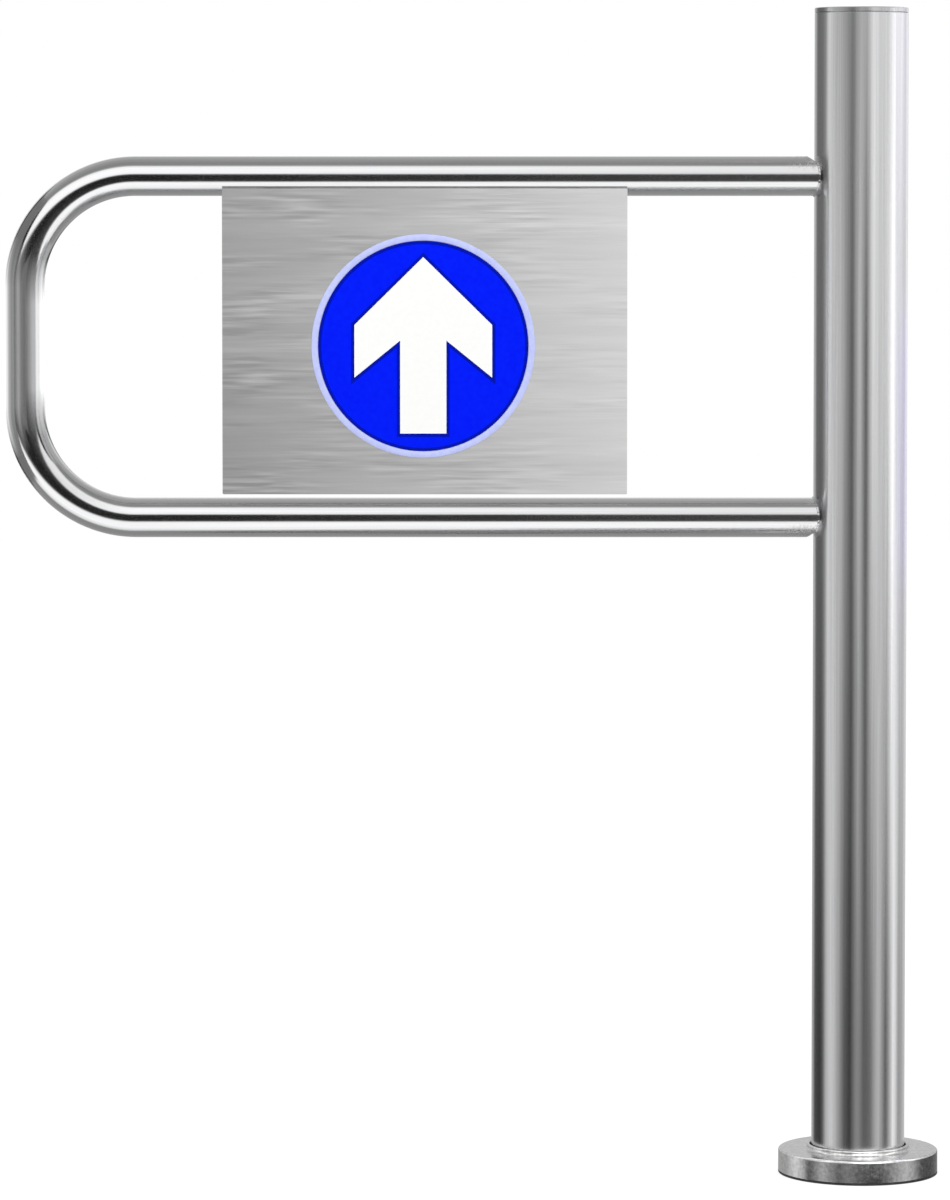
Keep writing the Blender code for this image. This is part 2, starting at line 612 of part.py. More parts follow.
def build_stop():
    """The ring on the mast whose window ends the swing, its rubber buffers, and the post's lug."""
    middle_radius = (STOP_INNER + STOP_OUTER) / 2
    lug_half = STOP_LUG_WIDTH / 2 / middle_radius
    seat = SEAT_GAP / STOP_INNER
    buffer = BUFFER_THICKNESS / middle_radius
    lug_end = ARM_HEADING + lug_half
    lug_start = ARM_HEADING - lug_half
    closed_buffer = lug_end + seat
    open_buffer = lug_start - SWING_ANGLE - seat - buffer
    window_end = closed_buffer + buffer + seat
    window_start = open_buffer - seat

    outline = arc(STOP_OUTER, window_end, window_start + FULL_TURN, BEARING_SIDES)
    outline += arc(STOP_HUB_RADIUS, window_start, window_end, BOLT_SIDES)
    hole = circle(MAST_RADIUS + SEAT_GAP, BEARING_SIDES)
    ring = new_piece("stop_ring", flat_mesh("stop_ring", [outline, hole], STOP_HEIGHT), MILD_STEEL, base,
                     (0.0, 0.0, STOP_BOTTOM))
    screw_heading = (window_end + window_start + FULL_TURN) / 2
    screw_turn = (0.0, QUARTER_TURN, screw_heading)
    screw_height = STOP_BOTTOM + STOP_HEIGHT / 2
    screw_radius = STOP_SCREW_DIAMETER / 2
    screw_start = MAST_RADIUS + SEAT_GAP
    screw_length = STOP_OUTER - STOP_SCREW_SETBACK - screw_start
    hole_mesh = turned_mesh("stop_screw_hole", bar_profile(screw_radius + SEAT_GAP, STOP_OUTER), BOLT_SIDES)
    hole_place = on_circle(MAST_RADIUS - CUT_OVERRUN, screw_heading, screw_height)
    combine(ring, new_cutter("stop_screw_hole", hole_mesh, hole_place, screw_turn), "DIFFERENCE")
    screw_mesh = turned_mesh("stop_ring_screw", bar_profile(screw_radius, screw_length), BOLT_SIDES)
    new_piece("stop_ring_screw", screw_mesh, ZINC_PLATED_STEEL, base,
              on_circle(screw_start, screw_heading, screw_height), screw_turn)

    def sector(inner, outer, start, end):
        return arc(outer, start, end, ROUNDING_STEPS) + arc(inner, end, start, ROUNDING_STEPS)

    at = (0.0, 0.0, STOP_BOTTOM)
    lug = flat_mesh("stop_lug", [sector(STOP_INNER, POST_INNER - SEAT_GAP, lug_start, lug_end)], STOP_HEIGHT)
    new_piece("stop_lug", lug, MILD_STEEL, gate, at)
    for name, start in (("stop_buffer_closed", closed_buffer), ("stop_buffer_open", open_buffer)):
        rubber = flat_mesh(name, [sector(STOP_INNER, STOP_OUTER, start, start + buffer)], STOP_HEIGHT)
        new_piece(name, rubber, BLACK_RUBBER, base, at)


def cam_height(turned_angle, lag):
    """The cam's height at an angle in the opening direction: valley, ramp, crest and drop."""
    lobe = FULL_TURN / CAM_LOBES
    valley = lobe * CAM_VALLEY_SHARE
    drop = lobe * CAM_DROP_SHARE
    angle = (turned_angle - lag) % lobe + lag
    if angle > lobe - drop + lag:
        return CAM_RISE * (lobe + lag - angle) / drop
    return CAM_RISE * min(max((angle - valley) / SWING_ANGLE, 0.0), 1.0)


def cam_mesh(name, inner, outer, lag, under, over):
    """A ring whose upper or lower face follows the cam, lofted section by section."""
    lobe = FULL_TURN / CAM_LOBES
    ramp_foot = lobe * CAM_VALLEY_SHARE
    ramp_head = ramp_foot + SWING_ANGLE
    crest_end = lobe + lag - lobe * CAM_DROP_SHARE
    stretches = ((lag, ramp_foot, CAM_FLAT_STEPS), (ramp_foot, ramp_head, CAM_RAMP_STEPS),
                 (ramp_head, crest_end, CAM_FLAT_STEPS))
    angles = []
    for number in range(CAM_LOBES):
        for start, end, steps in stretches:
            angles += [lobe * number + start + (end - start) * step / steps for step in range(steps)]
        angles.append(lobe * number + crest_end)
    sections = []
    mesh = bpy.data.meshes.new(name)
    work = bmesh.new()
    for angle in angles:
        height = cam_height(angle, lag)
        corners = ((inner, under(height)), (outer, under(height)), (outer, over(height)), (inner, over(height)))
        sections.append([work.verts.new(on_circle(radius, -angle, z)) for radius, z in corners])
    for section, following in zip(sections, sections[1:] + sections[:1]):
        for corner in range(len(section)):
            after = (corner + 1) % len(section)
            work.faces.new((section[corner], section[after], following[after], following[corner]))
    work.to_mesh(mesh)
    work.free()
    weld(mesh)
    return mesh


def build_cam():
    """The helical cam pinned to the mast's head."""
    sleeve_height = CAM_VALLEY - CAM_BOTTOM
    mesh = cam_mesh("return_cam", MAST_RADIUS + SEAT_GAP, CAM_OUTER, 0.0,
                    lambda height: 0.0, lambda height: sleeve_height + height)
    cam = new_piece("return_cam", mesh, BEARING_STEEL, base, (0.0, 0.0, CAM_BOTTOM))
    combine(cam, pin_cutter, "DIFFERENCE")
    pin_length = 2 * (CAM_OUTER - CAM_PIN_SETBACK)
    pin = turned_mesh("cam_pin", bar_profile(CAM_PIN_DIAMETER / 2, pin_length), BOLT_SIDES)
    new_piece("cam_pin", pin, BEARING_STEEL, base, (0.0, pin_length / 2, PIN_HEIGHT), (QUARTER_TURN, 0.0, 0.0))


def build_follower():
    """The acetal sleeve that climbs the cam, and the keys that make it turn with the post."""
    lag = FULL_TURN / CAM_LOBES * FOLLOWER_LAG_SHARE
    mesh = cam_mesh("cam_follower", FOLLOWER_BORE, FOLLOWER_OUTER, lag,
                    lambda height: height - CAM_RISE, lambda height: FOLLOWER_BODY)
    follower = new_piece("cam_follower", mesh, ACETAL, slider, (0.0, 0.0, FOLLOWER_ROOT))
    key_bottom = FOLLOWER_ROOT + SEAT_GAP
    key_length = FOLLOWER_BODY + CAM_RISE + KEY_MARGIN
    key_size = (KEY_DEPTH, KEY_WIDTH, key_length)
    key = block_mesh("follower_key", key_size, (KEY_INNER, -KEY_WIDTH / 2, 0.0))
    slot_size = (KEY_DEPTH + CUT_OVERRUN, KEY_WIDTH + 2 * SEAT_GAP, CAM_RISE + FOLLOWER_BODY + 2 * CUT_OVERRUN)
    slot_low = (KEY_INNER - SEAT_GAP, -KEY_WIDTH / 2 - SEAT_GAP, -CAM_RISE - CUT_OVERRUN)
    for number in range(KEY_COUNT):
        facing = (0.0, 0.0, KEY_HEADING + FULL_TURN * number / KEY_COUNT)
        slot = block_mesh(f"key_slot_{number + 1}", slot_size, slot_low)
        slot_cutter = new_cutter(f"key_slot_{number + 1}", slot, (0.0, 0.0, FOLLOWER_ROOT), facing)
        combine(follower, slot_cutter, "DIFFERENCE")
        new_piece(f"follower_key_{number + 1}", key.copy(), MILD_STEEL, gate, (0.0, 0.0, key_bottom), facing)


def build_spring():
    """The closing spring between the follower and its upper seat, with closed end turns."""
    end_pitch = SPRING_WIRE + SPRING_END_GAP
    middle_turns = SPRING_TURNS - 2
    middle_pitch = (SPRING_LENGTH - SPRING_WIRE - 2 * end_pitch) / middle_turns
    path = []
    for step in range(SPRING_TURNS * SPRING_POINTS_PER_TURN + 1):
        turns = step / SPRING_POINTS_PER_TURN
        low = min(turns, 1.0)
        high = max(turns - middle_turns - 1, 0.0)
        rise = end_pitch * (low + high) + middle_pitch * (turns - low - high)
        path.append((on_circle(SPRING_RADIUS, FULL_TURN * turns, SPRING_WIRE / 2 + rise), 1.0))
    coil = tube_mesh("closing_spring", path, SPRING_WIRE / 2, 1, True)
    new_piece("closing_spring", coil, SPRING_STEEL, gate, (0.0, 0.0, SPRING_BOTTOM))
    print("least gap between the spring's turns:", round(min(middle_pitch, end_pitch) - SPRING_WIRE, 5))


def build_preload():
    """The spring's upper seat, the bridge fixed in the post, and the screw and nut that set the preload."""
    chord_radius = SPRING_RADIUS * math.cos(HALF_TURN / SPRING_POINTS_PER_TURN)
    boss_radius = chord_radius - SPRING_WIRE / 2 - SEAT_BOSS_CLEARANCE
    seat_radius = POST_INNER - SEAT_PLATE_CLEARANCE
    profile = [(0.0, SEAT_PLATE_THICKNESS), (seat_radius, SEAT_PLATE_THICKNESS), (seat_radius, 0.0)]
    profile += [(boss_radius, 0.0), (boss_radius, -SEAT_BOSS_HEIGHT), (0.0, -SEAT_BOSS_HEIGHT)]
    seat = turned_mesh("spring_upper_seat", profile, BEARING_SIDES)
    new_piece("spring_upper_seat", seat, MILD_STEEL, gate, (0.0, 0.0, SEAT_PLATE_BOTTOM))

    screw_radius = PRELOAD_SCREW_DIAMETER / 2
    thread_bore = screw_radius + SEAT_GAP
    bridge_profile = ring_profile(thread_bore, POST_INNER - SEAT_GAP, BRIDGE_THICKNESS)
    bridge = turned_mesh("preload_bridge", bridge_profile, BEARING_SIDES)
    new_piece("preload_bridge", bridge, MILD_STEEL, gate, (0.0, 0.0, BRIDGE_BOTTOM))

    nut_bottom = BRIDGE_BOTTOM + BRIDGE_THICKNESS + SEAT_GAP
    nut = flat_mesh("preload_locknut", [hexagon(LOCKNUT_ACROSS_FLATS), circle(thread_bore, BOLT_SIDES)],
                    LOCKNUT_HEIGHT)
    new_piece("preload_locknut", nut, ZINC_PLATED_STEEL, gate, (0.0, 0.0, nut_bottom))

    screw_bottom = SEAT_PLATE_BOTTOM + SEAT_PLATE_THICKNESS + SEAT_GAP
    screw_length = nut_bottom + LOCKNUT_HEIGHT + PRELOAD_SCREW_TAIL - screw_bottom
    screw = new_piece("preload_screw", turned_mesh("preload_screw", bar_profile(screw_radius, screw_length),
                      BOLT_SIDES), ZINC_PLATED_STEEL, gate, (0.0, 0.0, screw_bottom))
    slot_size = (PRELOAD_SCREW_DIAMETER + CUT_OVERRUN, PRELOAD_SLOT_WIDTH, PRELOAD_SLOT_DEPTH + CUT_OVERRUN)
    slot = block_mesh("preload_slot", slot_size, (-slot_size[0] / 2, -PRELOAD_SLOT_WIDTH / 2, 0.0))
    slot_at = (0.0, 0.0, screw_bottom + screw_length - PRELOAD_SLOT_DEPTH)
    combine(screw, new_cutter("preload_slot", slot, slot_at), "DIFFERENCE")


def build_post():
    """The turning tube and the cap that closes its head."""
    post = turned_mesh("post_tube", ring_profile(POST_INNER, POST_RADIUS, POST_TOP - POST_BOTTOM), ROUND_SIDES)
    new_piece("post_tube", post, POLISHED_STEEL, gate, (0.0, 0.0, POST_BOTTOM))

    skirt = POST_INNER - SEAT_GAP
    skirt_inner = skirt - CAP_SKIRT_WALL
    ceiling = CAP_RIM_HEIGHT - CAP_TOP_THICKNESS
    profile = [(0.0, CAP_RIM_HEIGHT)] + rounded_edge(POST_RADIUS, CAP_RIM_HEIGHT, CAP_EDGE_RADIUS)
    profile += [(POST_RADIUS, 0.0), (skirt, 0.0), (skirt, -CAP_SKIRT_DEPTH), (skirt_inner, -CAP_SKIRT_DEPTH)]
    profile += [(skirt_inner, ceiling), (0.0, ceiling)]
    cap = turned_mesh("top_cap", profile, ROUND_SIDES)
    new_piece("top_cap", cap, POLISHED_STEEL, gate, (0.0, 0.0, POST_TOP + SEAT_GAP))


def build_arm():
    """The U-shaped tube, bent twice, drawn in at its ends and coped to the post."""
    share = RAIL_END_SHARE
    shift = ARM_RADIUS * (1 - share)
    hidden = -(POST_RADIUS - ARM_RADIUS)
    ends = ((UPPER_RAIL, -shift), (LOWER_RAIL, shift))
    stubs = []
    for height, towards_middle in ends:
        stubs.append([
            ((hidden, 0.0, height + towards_middle), share),
            ((-POST_RADIUS, 0.0, height + towards_middle), share),
            ((-(POST_RADIUS + RAIL_END_TAPER), 0.0, height), 1.0),
        ])
    bend_x = -(ARM_END - ARM_BEND_RADIUS)
    upper = arc(ARM_BEND_RADIUS, QUARTER_TURN, HALF_TURN, ARM_BEND_STEPS, (bend_x, UPPER_RAIL - ARM_BEND_RADIUS))
    lower = arc(ARM_BEND_RADIUS, HALF_TURN, HALF_TURN + QUARTER_TURN, ARM_BEND_STEPS,
                (bend_x, LOWER_RAIL + ARM_BEND_RADIUS))
    bends = [((x, 0.0, z), 1.0) for x, z in upper + lower]
    path = stubs[0] + bends + stubs[1][::-1]
    wall = {"thickness": ARM_WALL, "offset": -1.0, "use_even_offset": True}
    tube = tube_mesh("arm_tube", path, ARM_RADIUS, ARM_BEVEL_RESOLUTION, False, [("SOLIDIFY", wall)])
    arm = new_piece("arm_tube", tube, POLISHED_STEEL, gate)
    cope_height = RAIL_SPACING + 2 * ARM_DIAMETER
    cope = turned_mesh("arm_cope", bar_profile(POST_RADIUS + SEAT_GAP, cope_height), ROUND_SIDES)
    combine(arm, new_cutter("arm_cope", cope, (0.0, 0.0, LOWER_RAIL - ARM_DIAMETER)), "DIFFERENCE")


def build_panel():
    """The brushed plate in the arm, and the hangers, studs and nuts that hold it from behind."""
    size = (PANEL_WIDTH, PANEL_THICKNESS, PANEL_TOP - PANEL_BOTTOM)
    panel = new_piece("sign_panel", block_mesh("sign_panel", size, (0.0, 0.0, 0.0)), BRUSHED_STEEL, gate,
                      (PANEL_LEFT, -PANEL_FRONT, PANEL_BOTTOM))
    edge = panel.modifiers.new("Edge break", "BEVEL")
    edge.width = PANEL_EDGE_BREAK
    edge.segments = 1
    settle(panel)

    rail_radius = ARM_RADIUS + SEAT_GAP
    rail = turned_mesh("rail_cope", bar_profile(rail_radius, PANEL_WIDTH), BEARING_SIDES)
    rail_cope = new_cutter("rail_cope", rail, (PANEL_LEFT, 0.0, UPPER_RAIL), (0.0, QUARTER_TURN, 0.0))
    hanger_front = PANEL_BACK - SEAT_GAP
    hanger_back = hanger_front - HANGER_THICKNESS
    hanger_top = UPPER_RAIL - math.sqrt(rail_radius ** 2 - hanger_front ** 2) + SEAT_GAP
    hanger_low = hanger_top - HANGER_LENGTH
    stud_radius = PANEL_STUD_DIAMETER / 2
    stud_bore = stud_radius + SEAT_GAP
    stud_pitch = HANGER_LENGTH - PANEL_LAP - 2 * HANGER_EDGE
    stud_heights = [
        HANGER_EDGE + stud_pitch * number / PANEL_STUDS_PER_HANGER for number in range(PANEL_STUDS_PER_HANGER)
    ]
    nut_face = hanger_back - SEAT_GAP
    stud_length = PANEL_BACK - SEAT_GAP - (nut_face - PANEL_NUT_HEIGHT - PANEL_STUD_TIP)
    stud = turned_mesh("panel_stud", bar_profile(stud_radius, stud_length), BOLT_SIDES)
    nut = flat_mesh("panel_nut", [hexagon(PANEL_NUT_ACROSS_FLATS), circle(stud_bore, BOLT_SIDES)],
                    PANEL_NUT_HEIGHT)
    facing_back = (-QUARTER_TURN, 0.0, 0.0)
    facing_front = (QUARTER_TURN, 0.0, 0.0)
    centres = (("left", PANEL_LEFT + HANGER_INSET), ("right", PANEL_RIGHT - HANGER_INSET))
    count = 0
    half = HANGER_WIDTH / 2
    outline = [(-half, 0.0), (half, 0.0), (half, HANGER_LENGTH), (-half, HANGER_LENGTH)]
    holes = [circle(stud_bore, BOLT_SIDES, (0.0, height)) for height in stud_heights]
    for side, centre in centres:
        name = f"panel_hanger_{side}"
        plate = flat_mesh(name, [outline] + holes, HANGER_THICKNESS)
        hanger = new_piece(name, plate, BRUSHED_STEEL, gate, (centre, -hanger_back, hanger_low), facing_front)
        combine(hanger, rail_cope, "DIFFERENCE")
        for height in stud_heights:
            count += 1
            z = hanger_low + height
            new_piece(f"panel_stud_{count}", stud.copy(), ZINC_PLATED_STEEL, gate,
                      (centre, -hanger_front, z), facing_back)
            new_piece(f"panel_nut_{count}", nut.copy(), ZINC_PLATED_STEEL, gate, (centre, -nut_face, z), facing_back)


def build_sign():
    """The round film on the panel: a pale border, a blue disc and a white arrow."""
    outer = SIGN_DIAMETER / 2
    border_inner = outer - SIGN_BORDER
    disc = border_inner - SEAT_GAP
    half = [
        (0.0, ARROW_TIP_SHARE),
        (ARROW_HEAD_HALF_WIDTH_SHARE, ARROW_BARB_TOP_SHARE),
        (ARROW_HEAD_HALF_WIDTH_SHARE, ARROW_BARB_FOOT_SHARE),
        (ARROW_STEM_HALF_WIDTH_SHARE, ARROW_NOTCH_SHARE),
        (ARROW_STEM_HALF_WIDTH_SHARE, ARROW_TAIL_SHARE),
    ]
    mirrored = [(-across, up) for across, up in reversed(half[1:])]
    arrow = [(disc * across, disc * up) for across, up in half + mirrored]
    upright = (QUARTER_TURN, 0.0, 0.0)
    film_back = PANEL_FRONT + SEAT_GAP
    arrow_back = film_back + FILM_THICKNESS + SEAT_GAP
    pieces = (
        ("sign_border", [circle(outer, SIGN_SIDES), circle(border_inner, SIGN_SIDES)], PALE_BLUE_FILM, film_back),
        ("sign_disc", [circle(disc, SIGN_SIDES)], BLUE_FILM, film_back),
        ("sign_arrow", [arrow], WHITE_FILM, arrow_back),
    )
    for name, outlines, finish, back in pieces:
        film = flat_mesh(name, outlines, FILM_THICKNESS)
        new_piece(name, film, finish, gate, (SIGN_CENTRE_X, -back, SIGN_CENTRE_Z), upright)


clear_scene()
gate_parts = new_collection("swing_barrier_gate")
cutters = new_collection("cutters")
base = new_axis("base")
gate = new_axis("gate_axis")
slider = new_axis("cam_slider", gate)
lower_cage = new_axis("lower_cage_axis")
upper_cage = new_axis("upper_cage_axis")

pin_hole = turned_mesh("cam_pin_hole", bar_profile(CAM_PIN_DIAMETER / 2 + SEAT_GAP, POST_DIAMETER), BOLT_SIDES)
pin_cutter = new_cutter("cam_pin_hole", pin_hole, (0.0, POST_RADIUS, PIN_HEIGHT), (QUARTER_TURN, 0.0, 0.0))

build_base()
build_mast()
build_bearing("lower", LOWER_BEARING_BOTTOM, lower_cage)
build_bearing("upper", UPPER_BEARING_BOTTOM, upper_cage)
build_housing("lower", LOWER_BEARING_BOTTOM, True)
build_housing("upper", UPPER_BEARING_BOTTOM, False)
build_stop()
build_cam()
build_follower()
build_spring()
build_preload()
build_post()
build_arm()
build_panel()
build_sign()
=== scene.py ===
# %% [markdown]
# # Dressing a swing barrier gate
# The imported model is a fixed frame: each piece has its real size and place there, in metres, with the
# post's axis on Z and the floor at zero. Its solids have flat facets and plain colours. This lesson
# gives the gate what they lack: smooth tubes, polished and brushed steel, printed films, and the
# light, floor and camera of a product picture.

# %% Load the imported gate
import math

import bmesh
import bpy
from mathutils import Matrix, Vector


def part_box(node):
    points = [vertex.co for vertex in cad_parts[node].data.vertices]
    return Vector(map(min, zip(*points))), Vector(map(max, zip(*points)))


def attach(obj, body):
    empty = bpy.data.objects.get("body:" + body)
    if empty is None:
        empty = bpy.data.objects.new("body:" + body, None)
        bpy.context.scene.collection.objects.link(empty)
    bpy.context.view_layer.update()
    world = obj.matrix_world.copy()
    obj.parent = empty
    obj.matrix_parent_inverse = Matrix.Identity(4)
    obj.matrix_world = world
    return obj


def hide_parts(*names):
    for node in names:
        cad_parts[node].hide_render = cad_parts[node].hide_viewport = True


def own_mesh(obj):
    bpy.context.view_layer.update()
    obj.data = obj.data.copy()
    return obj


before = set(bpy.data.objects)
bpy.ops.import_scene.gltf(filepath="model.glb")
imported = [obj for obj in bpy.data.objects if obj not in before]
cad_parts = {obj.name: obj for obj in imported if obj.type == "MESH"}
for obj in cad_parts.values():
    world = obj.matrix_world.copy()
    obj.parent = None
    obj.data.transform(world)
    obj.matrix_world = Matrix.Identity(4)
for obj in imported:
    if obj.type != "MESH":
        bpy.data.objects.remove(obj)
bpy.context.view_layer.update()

print("solids in the frame:", len(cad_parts))

# %% [markdown]
# ## Read the sizes instead of typing them
# A dressed piece has to lie exactly where its solid lies, or the gate would no longer fit its floor
# plate or swing on its bearings. So the script asks the frame for each solid's lowest and highest
# corner, and works out radii and heights from those. Only what a box can't tell, such as the radius
# of a bend, is written as a size of its own.

# %% Post, arm and panel sizes
post_low, post_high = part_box("post_tube")
arm_low, arm_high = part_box("arm_tube")
panel_low, panel_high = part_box("sign_panel")
POST_RADIUS = post_high.x
POST_WALL = 0.002
SEAT_GAP = 0.0003
ARM_RADIUS = 0.016
ARM_WALL = 0.0015
BEND_RADIUS = 0.090
UPPER_RAIL = arm_high.z - ARM_RADIUS
LOWER_RAIL = arm_low.z + ARM_RADIUS
HALF_TURN = math.pi
QUARTER = HALF_TURN / 2
FULL_TURN = 2 * HALF_TURN
print("post radius:", round(POST_RADIUS, 4), "rails at", round(UPPER_RAIL, 4), round(LOWER_RAIL, 4))

# %% [markdown]
# ## One helper for everything drawn or turned
# A tube, a turned dish, a thread and a weld bead are all rings of points joined by faces. Blender
# could spin a profile with the Screw modifier and sweep a curve for the arm, but rings of our own
# give two things more: a ring can bend to fit the post, and each face gets a map with the length
# along the piece and the way round it, which the grain of the polish needs later.

# %% Skin a row of rings
WELD_DISTANCE = 1e-7
SMOOTH_ANGLE = math.radians(35)
GRAIN_MAP = "Length and girth"


def finish_mesh(name, work):
    """Store a bmesh as a mesh with its faces pointing out and its round faces smooth."""
    bmesh.ops.remove_doubles(work, verts=work.verts, dist=WELD_DISTANCE)
    bmesh.ops.recalc_face_normals(work, faces=work.faces)
    mesh = bpy.data.meshes.new(name)
    work.to_mesh(mesh)
    work.free()
    mesh.shade_smooth()
    mesh.set_sharp_from_angle(angle=SMOOTH_ANGLE)
    for face in mesh.polygons:
        face.use_smooth = face.loop_total <= 4
    return mesh


def skin(name, rings, loop=False):
    """A mesh over rings of points. A loop joins its last ring to its first, as a hollow piece does."""
    work = bmesh.new()
    layer = work.loops.layers.uv.new(GRAIN_MAP)
    rows = [[work.verts.new(point) for point in ring] for ring in rings]
    sides = len(rings[0])
    lengths = [0.0]
    for ring, after in zip(rings, rings[1:] + rings[:1]):
        lengths.append(lengths[-1] + (Vector(after[0]) - Vector(ring[0])).length)
    pairs = list(zip(rows, rows[1:])) + ([(rows[-1], rows[0])] if loop else [])
    for number, (row, after) in enumerate(pairs):
        for side in range(sides):
            turn = (side + 1) % sides
            face = work.faces.new((row[side], row[turn], after[turn], after[side]))
            places = ((number, side), (number, side + 1), (number + 1, side + 1), (number + 1, side))
            for corner, (step, round_step) in zip(face.loops, places):
                corner[layer].uv = (lengths[step], round_step / sides)
    if not loop:
        work.faces.new(rows[0][::-1])
        work.faces.new(rows[-1])
    return finish_mesh(name, work)


print("round faces are smoothed up to", round(math.degrees(SMOOTH_ANGLE)), "degrees")

# %% Arcs, turned rings and outlines
SUPPORT = 0.0002
LONG_STRAIGHT = 0.001
BREAK_STEPS = 4


def arc(centre, radius, start, end, steps):
    """Points of an arc in a flat section, both ends included."""
    angles = [start + (end - start) * step / steps for step in range(steps + 1)]
    return [(centre[0] + radius * math.cos(a), centre[1] + radius * math.sin(a)) for a in angles]


def supported(profile, closed=True):
    """A profile with a point near each end of its long straights, which smooth shading then keeps flat."""
    points = []
    after = profile[1:] + (profile[:1] if closed else profile[-1:])
    for (r0, z0), (r1, z1) in zip(profile, after):
        points.append((r0, z0))
        length = math.dist((r0, z0), (r1, z1))
        if length > LONG_STRAIGHT:
            for share in (SUPPORT / length, 1 - SUPPORT / length):
                points.append((r0 + (r1 - r0) * share, z0 + (z1 - z0) * share))
    return points


def turns_of(sides):
    """The angles of a number of sides round a full turn."""
    return [FULL_TURN * side / sides for side in range(sides)]


def turned_rings(profile, sides):
    """Each point of a profile, given as radius and height, becomes a ring about Z."""
    return [[(r * math.cos(t), r * math.sin(t), z) for t in turns_of(sides)] for r, z in profile]


def rounded_box(x0, z0, x1, z1, corner, steps=6):
    """A rectangular outline with round corners, counterclockwise from its upper right."""
    centres = ((x1 - corner, z1 - corner), (x0 + corner, z1 - corner),
               (x0 + corner, z0 + corner), (x1 - corner, z0 + corner))
    return [point for turn, centre in enumerate(centres)
            for point in arc(centre, corner, QUARTER * turn, QUARTER * (turn + 1), steps)]


def ring_section(inner, outer, low, high, edge, steps=BREAK_STEPS):
    """The section of a ring or tube about Z whose four corners are rounded by the edge radius."""
    return rounded_box(inner, low, outer, high, edge, steps)


print("a section with rounded corners has", len(ring_section(0.0, 1.0, 0.0, 1.0, 0.1)), "points")

# %% Place a piece on its body
dressed = {}
slots = {}


def show(name, data):
    """A new object in the scene."""
    thing = bpy.data.objects.new(name, data)
    bpy.context.scene.collection.objects.link(thing)
    return thing


def place(name, rings, body, slot, *stands_for, loop=False):
    """Skin rings as a piece that rides on a body and stands for the named solids."""
    piece = show(name, skin(name, rings, loop))
    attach(piece, body)
    if stands_for:
        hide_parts(*stands_for)
    dressed[name] = piece
    slots[name] = slot
    return piece


# %% [markdown]
# ## The post and its cap
# The post is polished tube, so its light and dark stripes must run straight and unbroken from foot
# to head. Facets would break them, and 192 sides don't show. The cut ends are broken by a fraction
# of a millimetre, as a buffing wheel leaves them: that thin bright line is what the eye takes for a
# real edge. The cap is a turned disc with a rim as wide as the post, and the fine dark seam under it
# is the true gap between the two pieces.

# %% Turn the post and the cap
ROUND_SIDES = 192
EDGE_STEPS = 6
EDGE_BREAK = 0.0004
CAP_EDGE = 0.0008
CAP_SKIRT_WALL = 0.0018
CAP_THICKNESS = 0.003
post_section = ring_section(POST_RADIUS - POST_WALL, POST_RADIUS, post_low.z, post_high.z, EDGE_BREAK)
place("post", turned_rings(supported(post_section), ROUND_SIDES), "gate", "polished_stainless", "post_tube",
      loop=True)


def broken_foot(radius, z):
    """The fine round at the lower outer edge of a turned profile."""
    return arc((radius - EDGE_BREAK, z + EDGE_BREAK), EDGE_BREAK, 0.0, -QUARTER, BREAK_STEPS)


cap_low, cap_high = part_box("top_cap")
cap_rim = post_high.z + SEAT_GAP
cap_under = cap_high.z - CAP_THICKNESS
skirt = POST_RADIUS - POST_WALL - SEAT_GAP
skirt_inside = skirt - CAP_SKIRT_WALL
cap_profile = [(0.0, cap_high.z)]
cap_profile += arc((POST_RADIUS - CAP_EDGE, cap_high.z - CAP_EDGE), CAP_EDGE, QUARTER, 0.0, EDGE_STEPS)
cap_profile += broken_foot(POST_RADIUS, cap_rim)
cap_profile += [(skirt, cap_rim), (skirt, cap_low.z), (skirt_inside, cap_low.z)]
cap_profile += [(skirt_inside, cap_under), (0.0, cap_under)]
place("post_cap", turned_rings(supported(cap_profile, False), ROUND_SIDES), "gate", "polished_stainless",
      "top_cap")
print("post:", len(dressed["post"].data.polygons), "faces")

# %% [markdown]
# ## The base cover and its rubber ring
# A spun steel dish hides the bolts. Its top is flat, and its edge rolls over in a round that catches
# the brightest line of the whole picture. Its bore stands up in a rolled collar of four millimetres,
# so that the thin sheet doesn't cut into the post. Under it a black rubber ring seals against the floor;
# its dark line at the cover's foot also stands in for the shade there, as painted shade. Both are turned
# profiles, like the cap.

# %% Turn the cover and the rubber ring
cover_low, cover_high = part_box("base_cover")
gasket_low, gasket_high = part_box("base_gasket")
ROLL_STEPS = 12
COVER_EDGE = 0.0020
COVER_WALL = 0.0025
COVER_BORE_CLEARANCE = 0.0012
COLLAR_ROLL = 0.0013
COLLAR_RISE = 0.0040
COLLAR_HOLLOW = 0.0020
cover_radius = cover_high.x
cover_inside = cover_radius - COVER_WALL
cover_bore = POST_RADIUS + COVER_BORE_CLEARANCE
cover_under = cover_high.z - COVER_WALL
collar_middle = (cover_bore + COLLAR_ROLL, cover_high.z + COLLAR_RISE - COLLAR_ROLL)
hollow_side = cover_bore + 2 * COLLAR_ROLL + COLLAR_HOLLOW
hollow_middle = (hollow_side, cover_high.z + COLLAR_HOLLOW)
edge_middle = (cover_radius - COVER_EDGE, cover_high.z - COVER_EDGE)
cover_profile = arc(edge_middle, COVER_EDGE, QUARTER, 0.0, ROLL_STEPS)
cover_profile += broken_foot(cover_radius, cover_low.z)
cover_profile += [(cover_inside, cover_low.z), (cover_inside, cover_under), (cover_bore, cover_under)]
cover_profile += arc(collar_middle, COLLAR_ROLL, HALF_TURN, 0.0, ROLL_STEPS)
cover_profile += arc(hollow_middle, COLLAR_HOLLOW, HALF_TURN, 3 * QUARTER, EDGE_STEPS)
place("cover", turned_rings(supported(cover_profile), ROUND_SIDES), "base", "polished_stainless",
      "base_cover", loop=True)
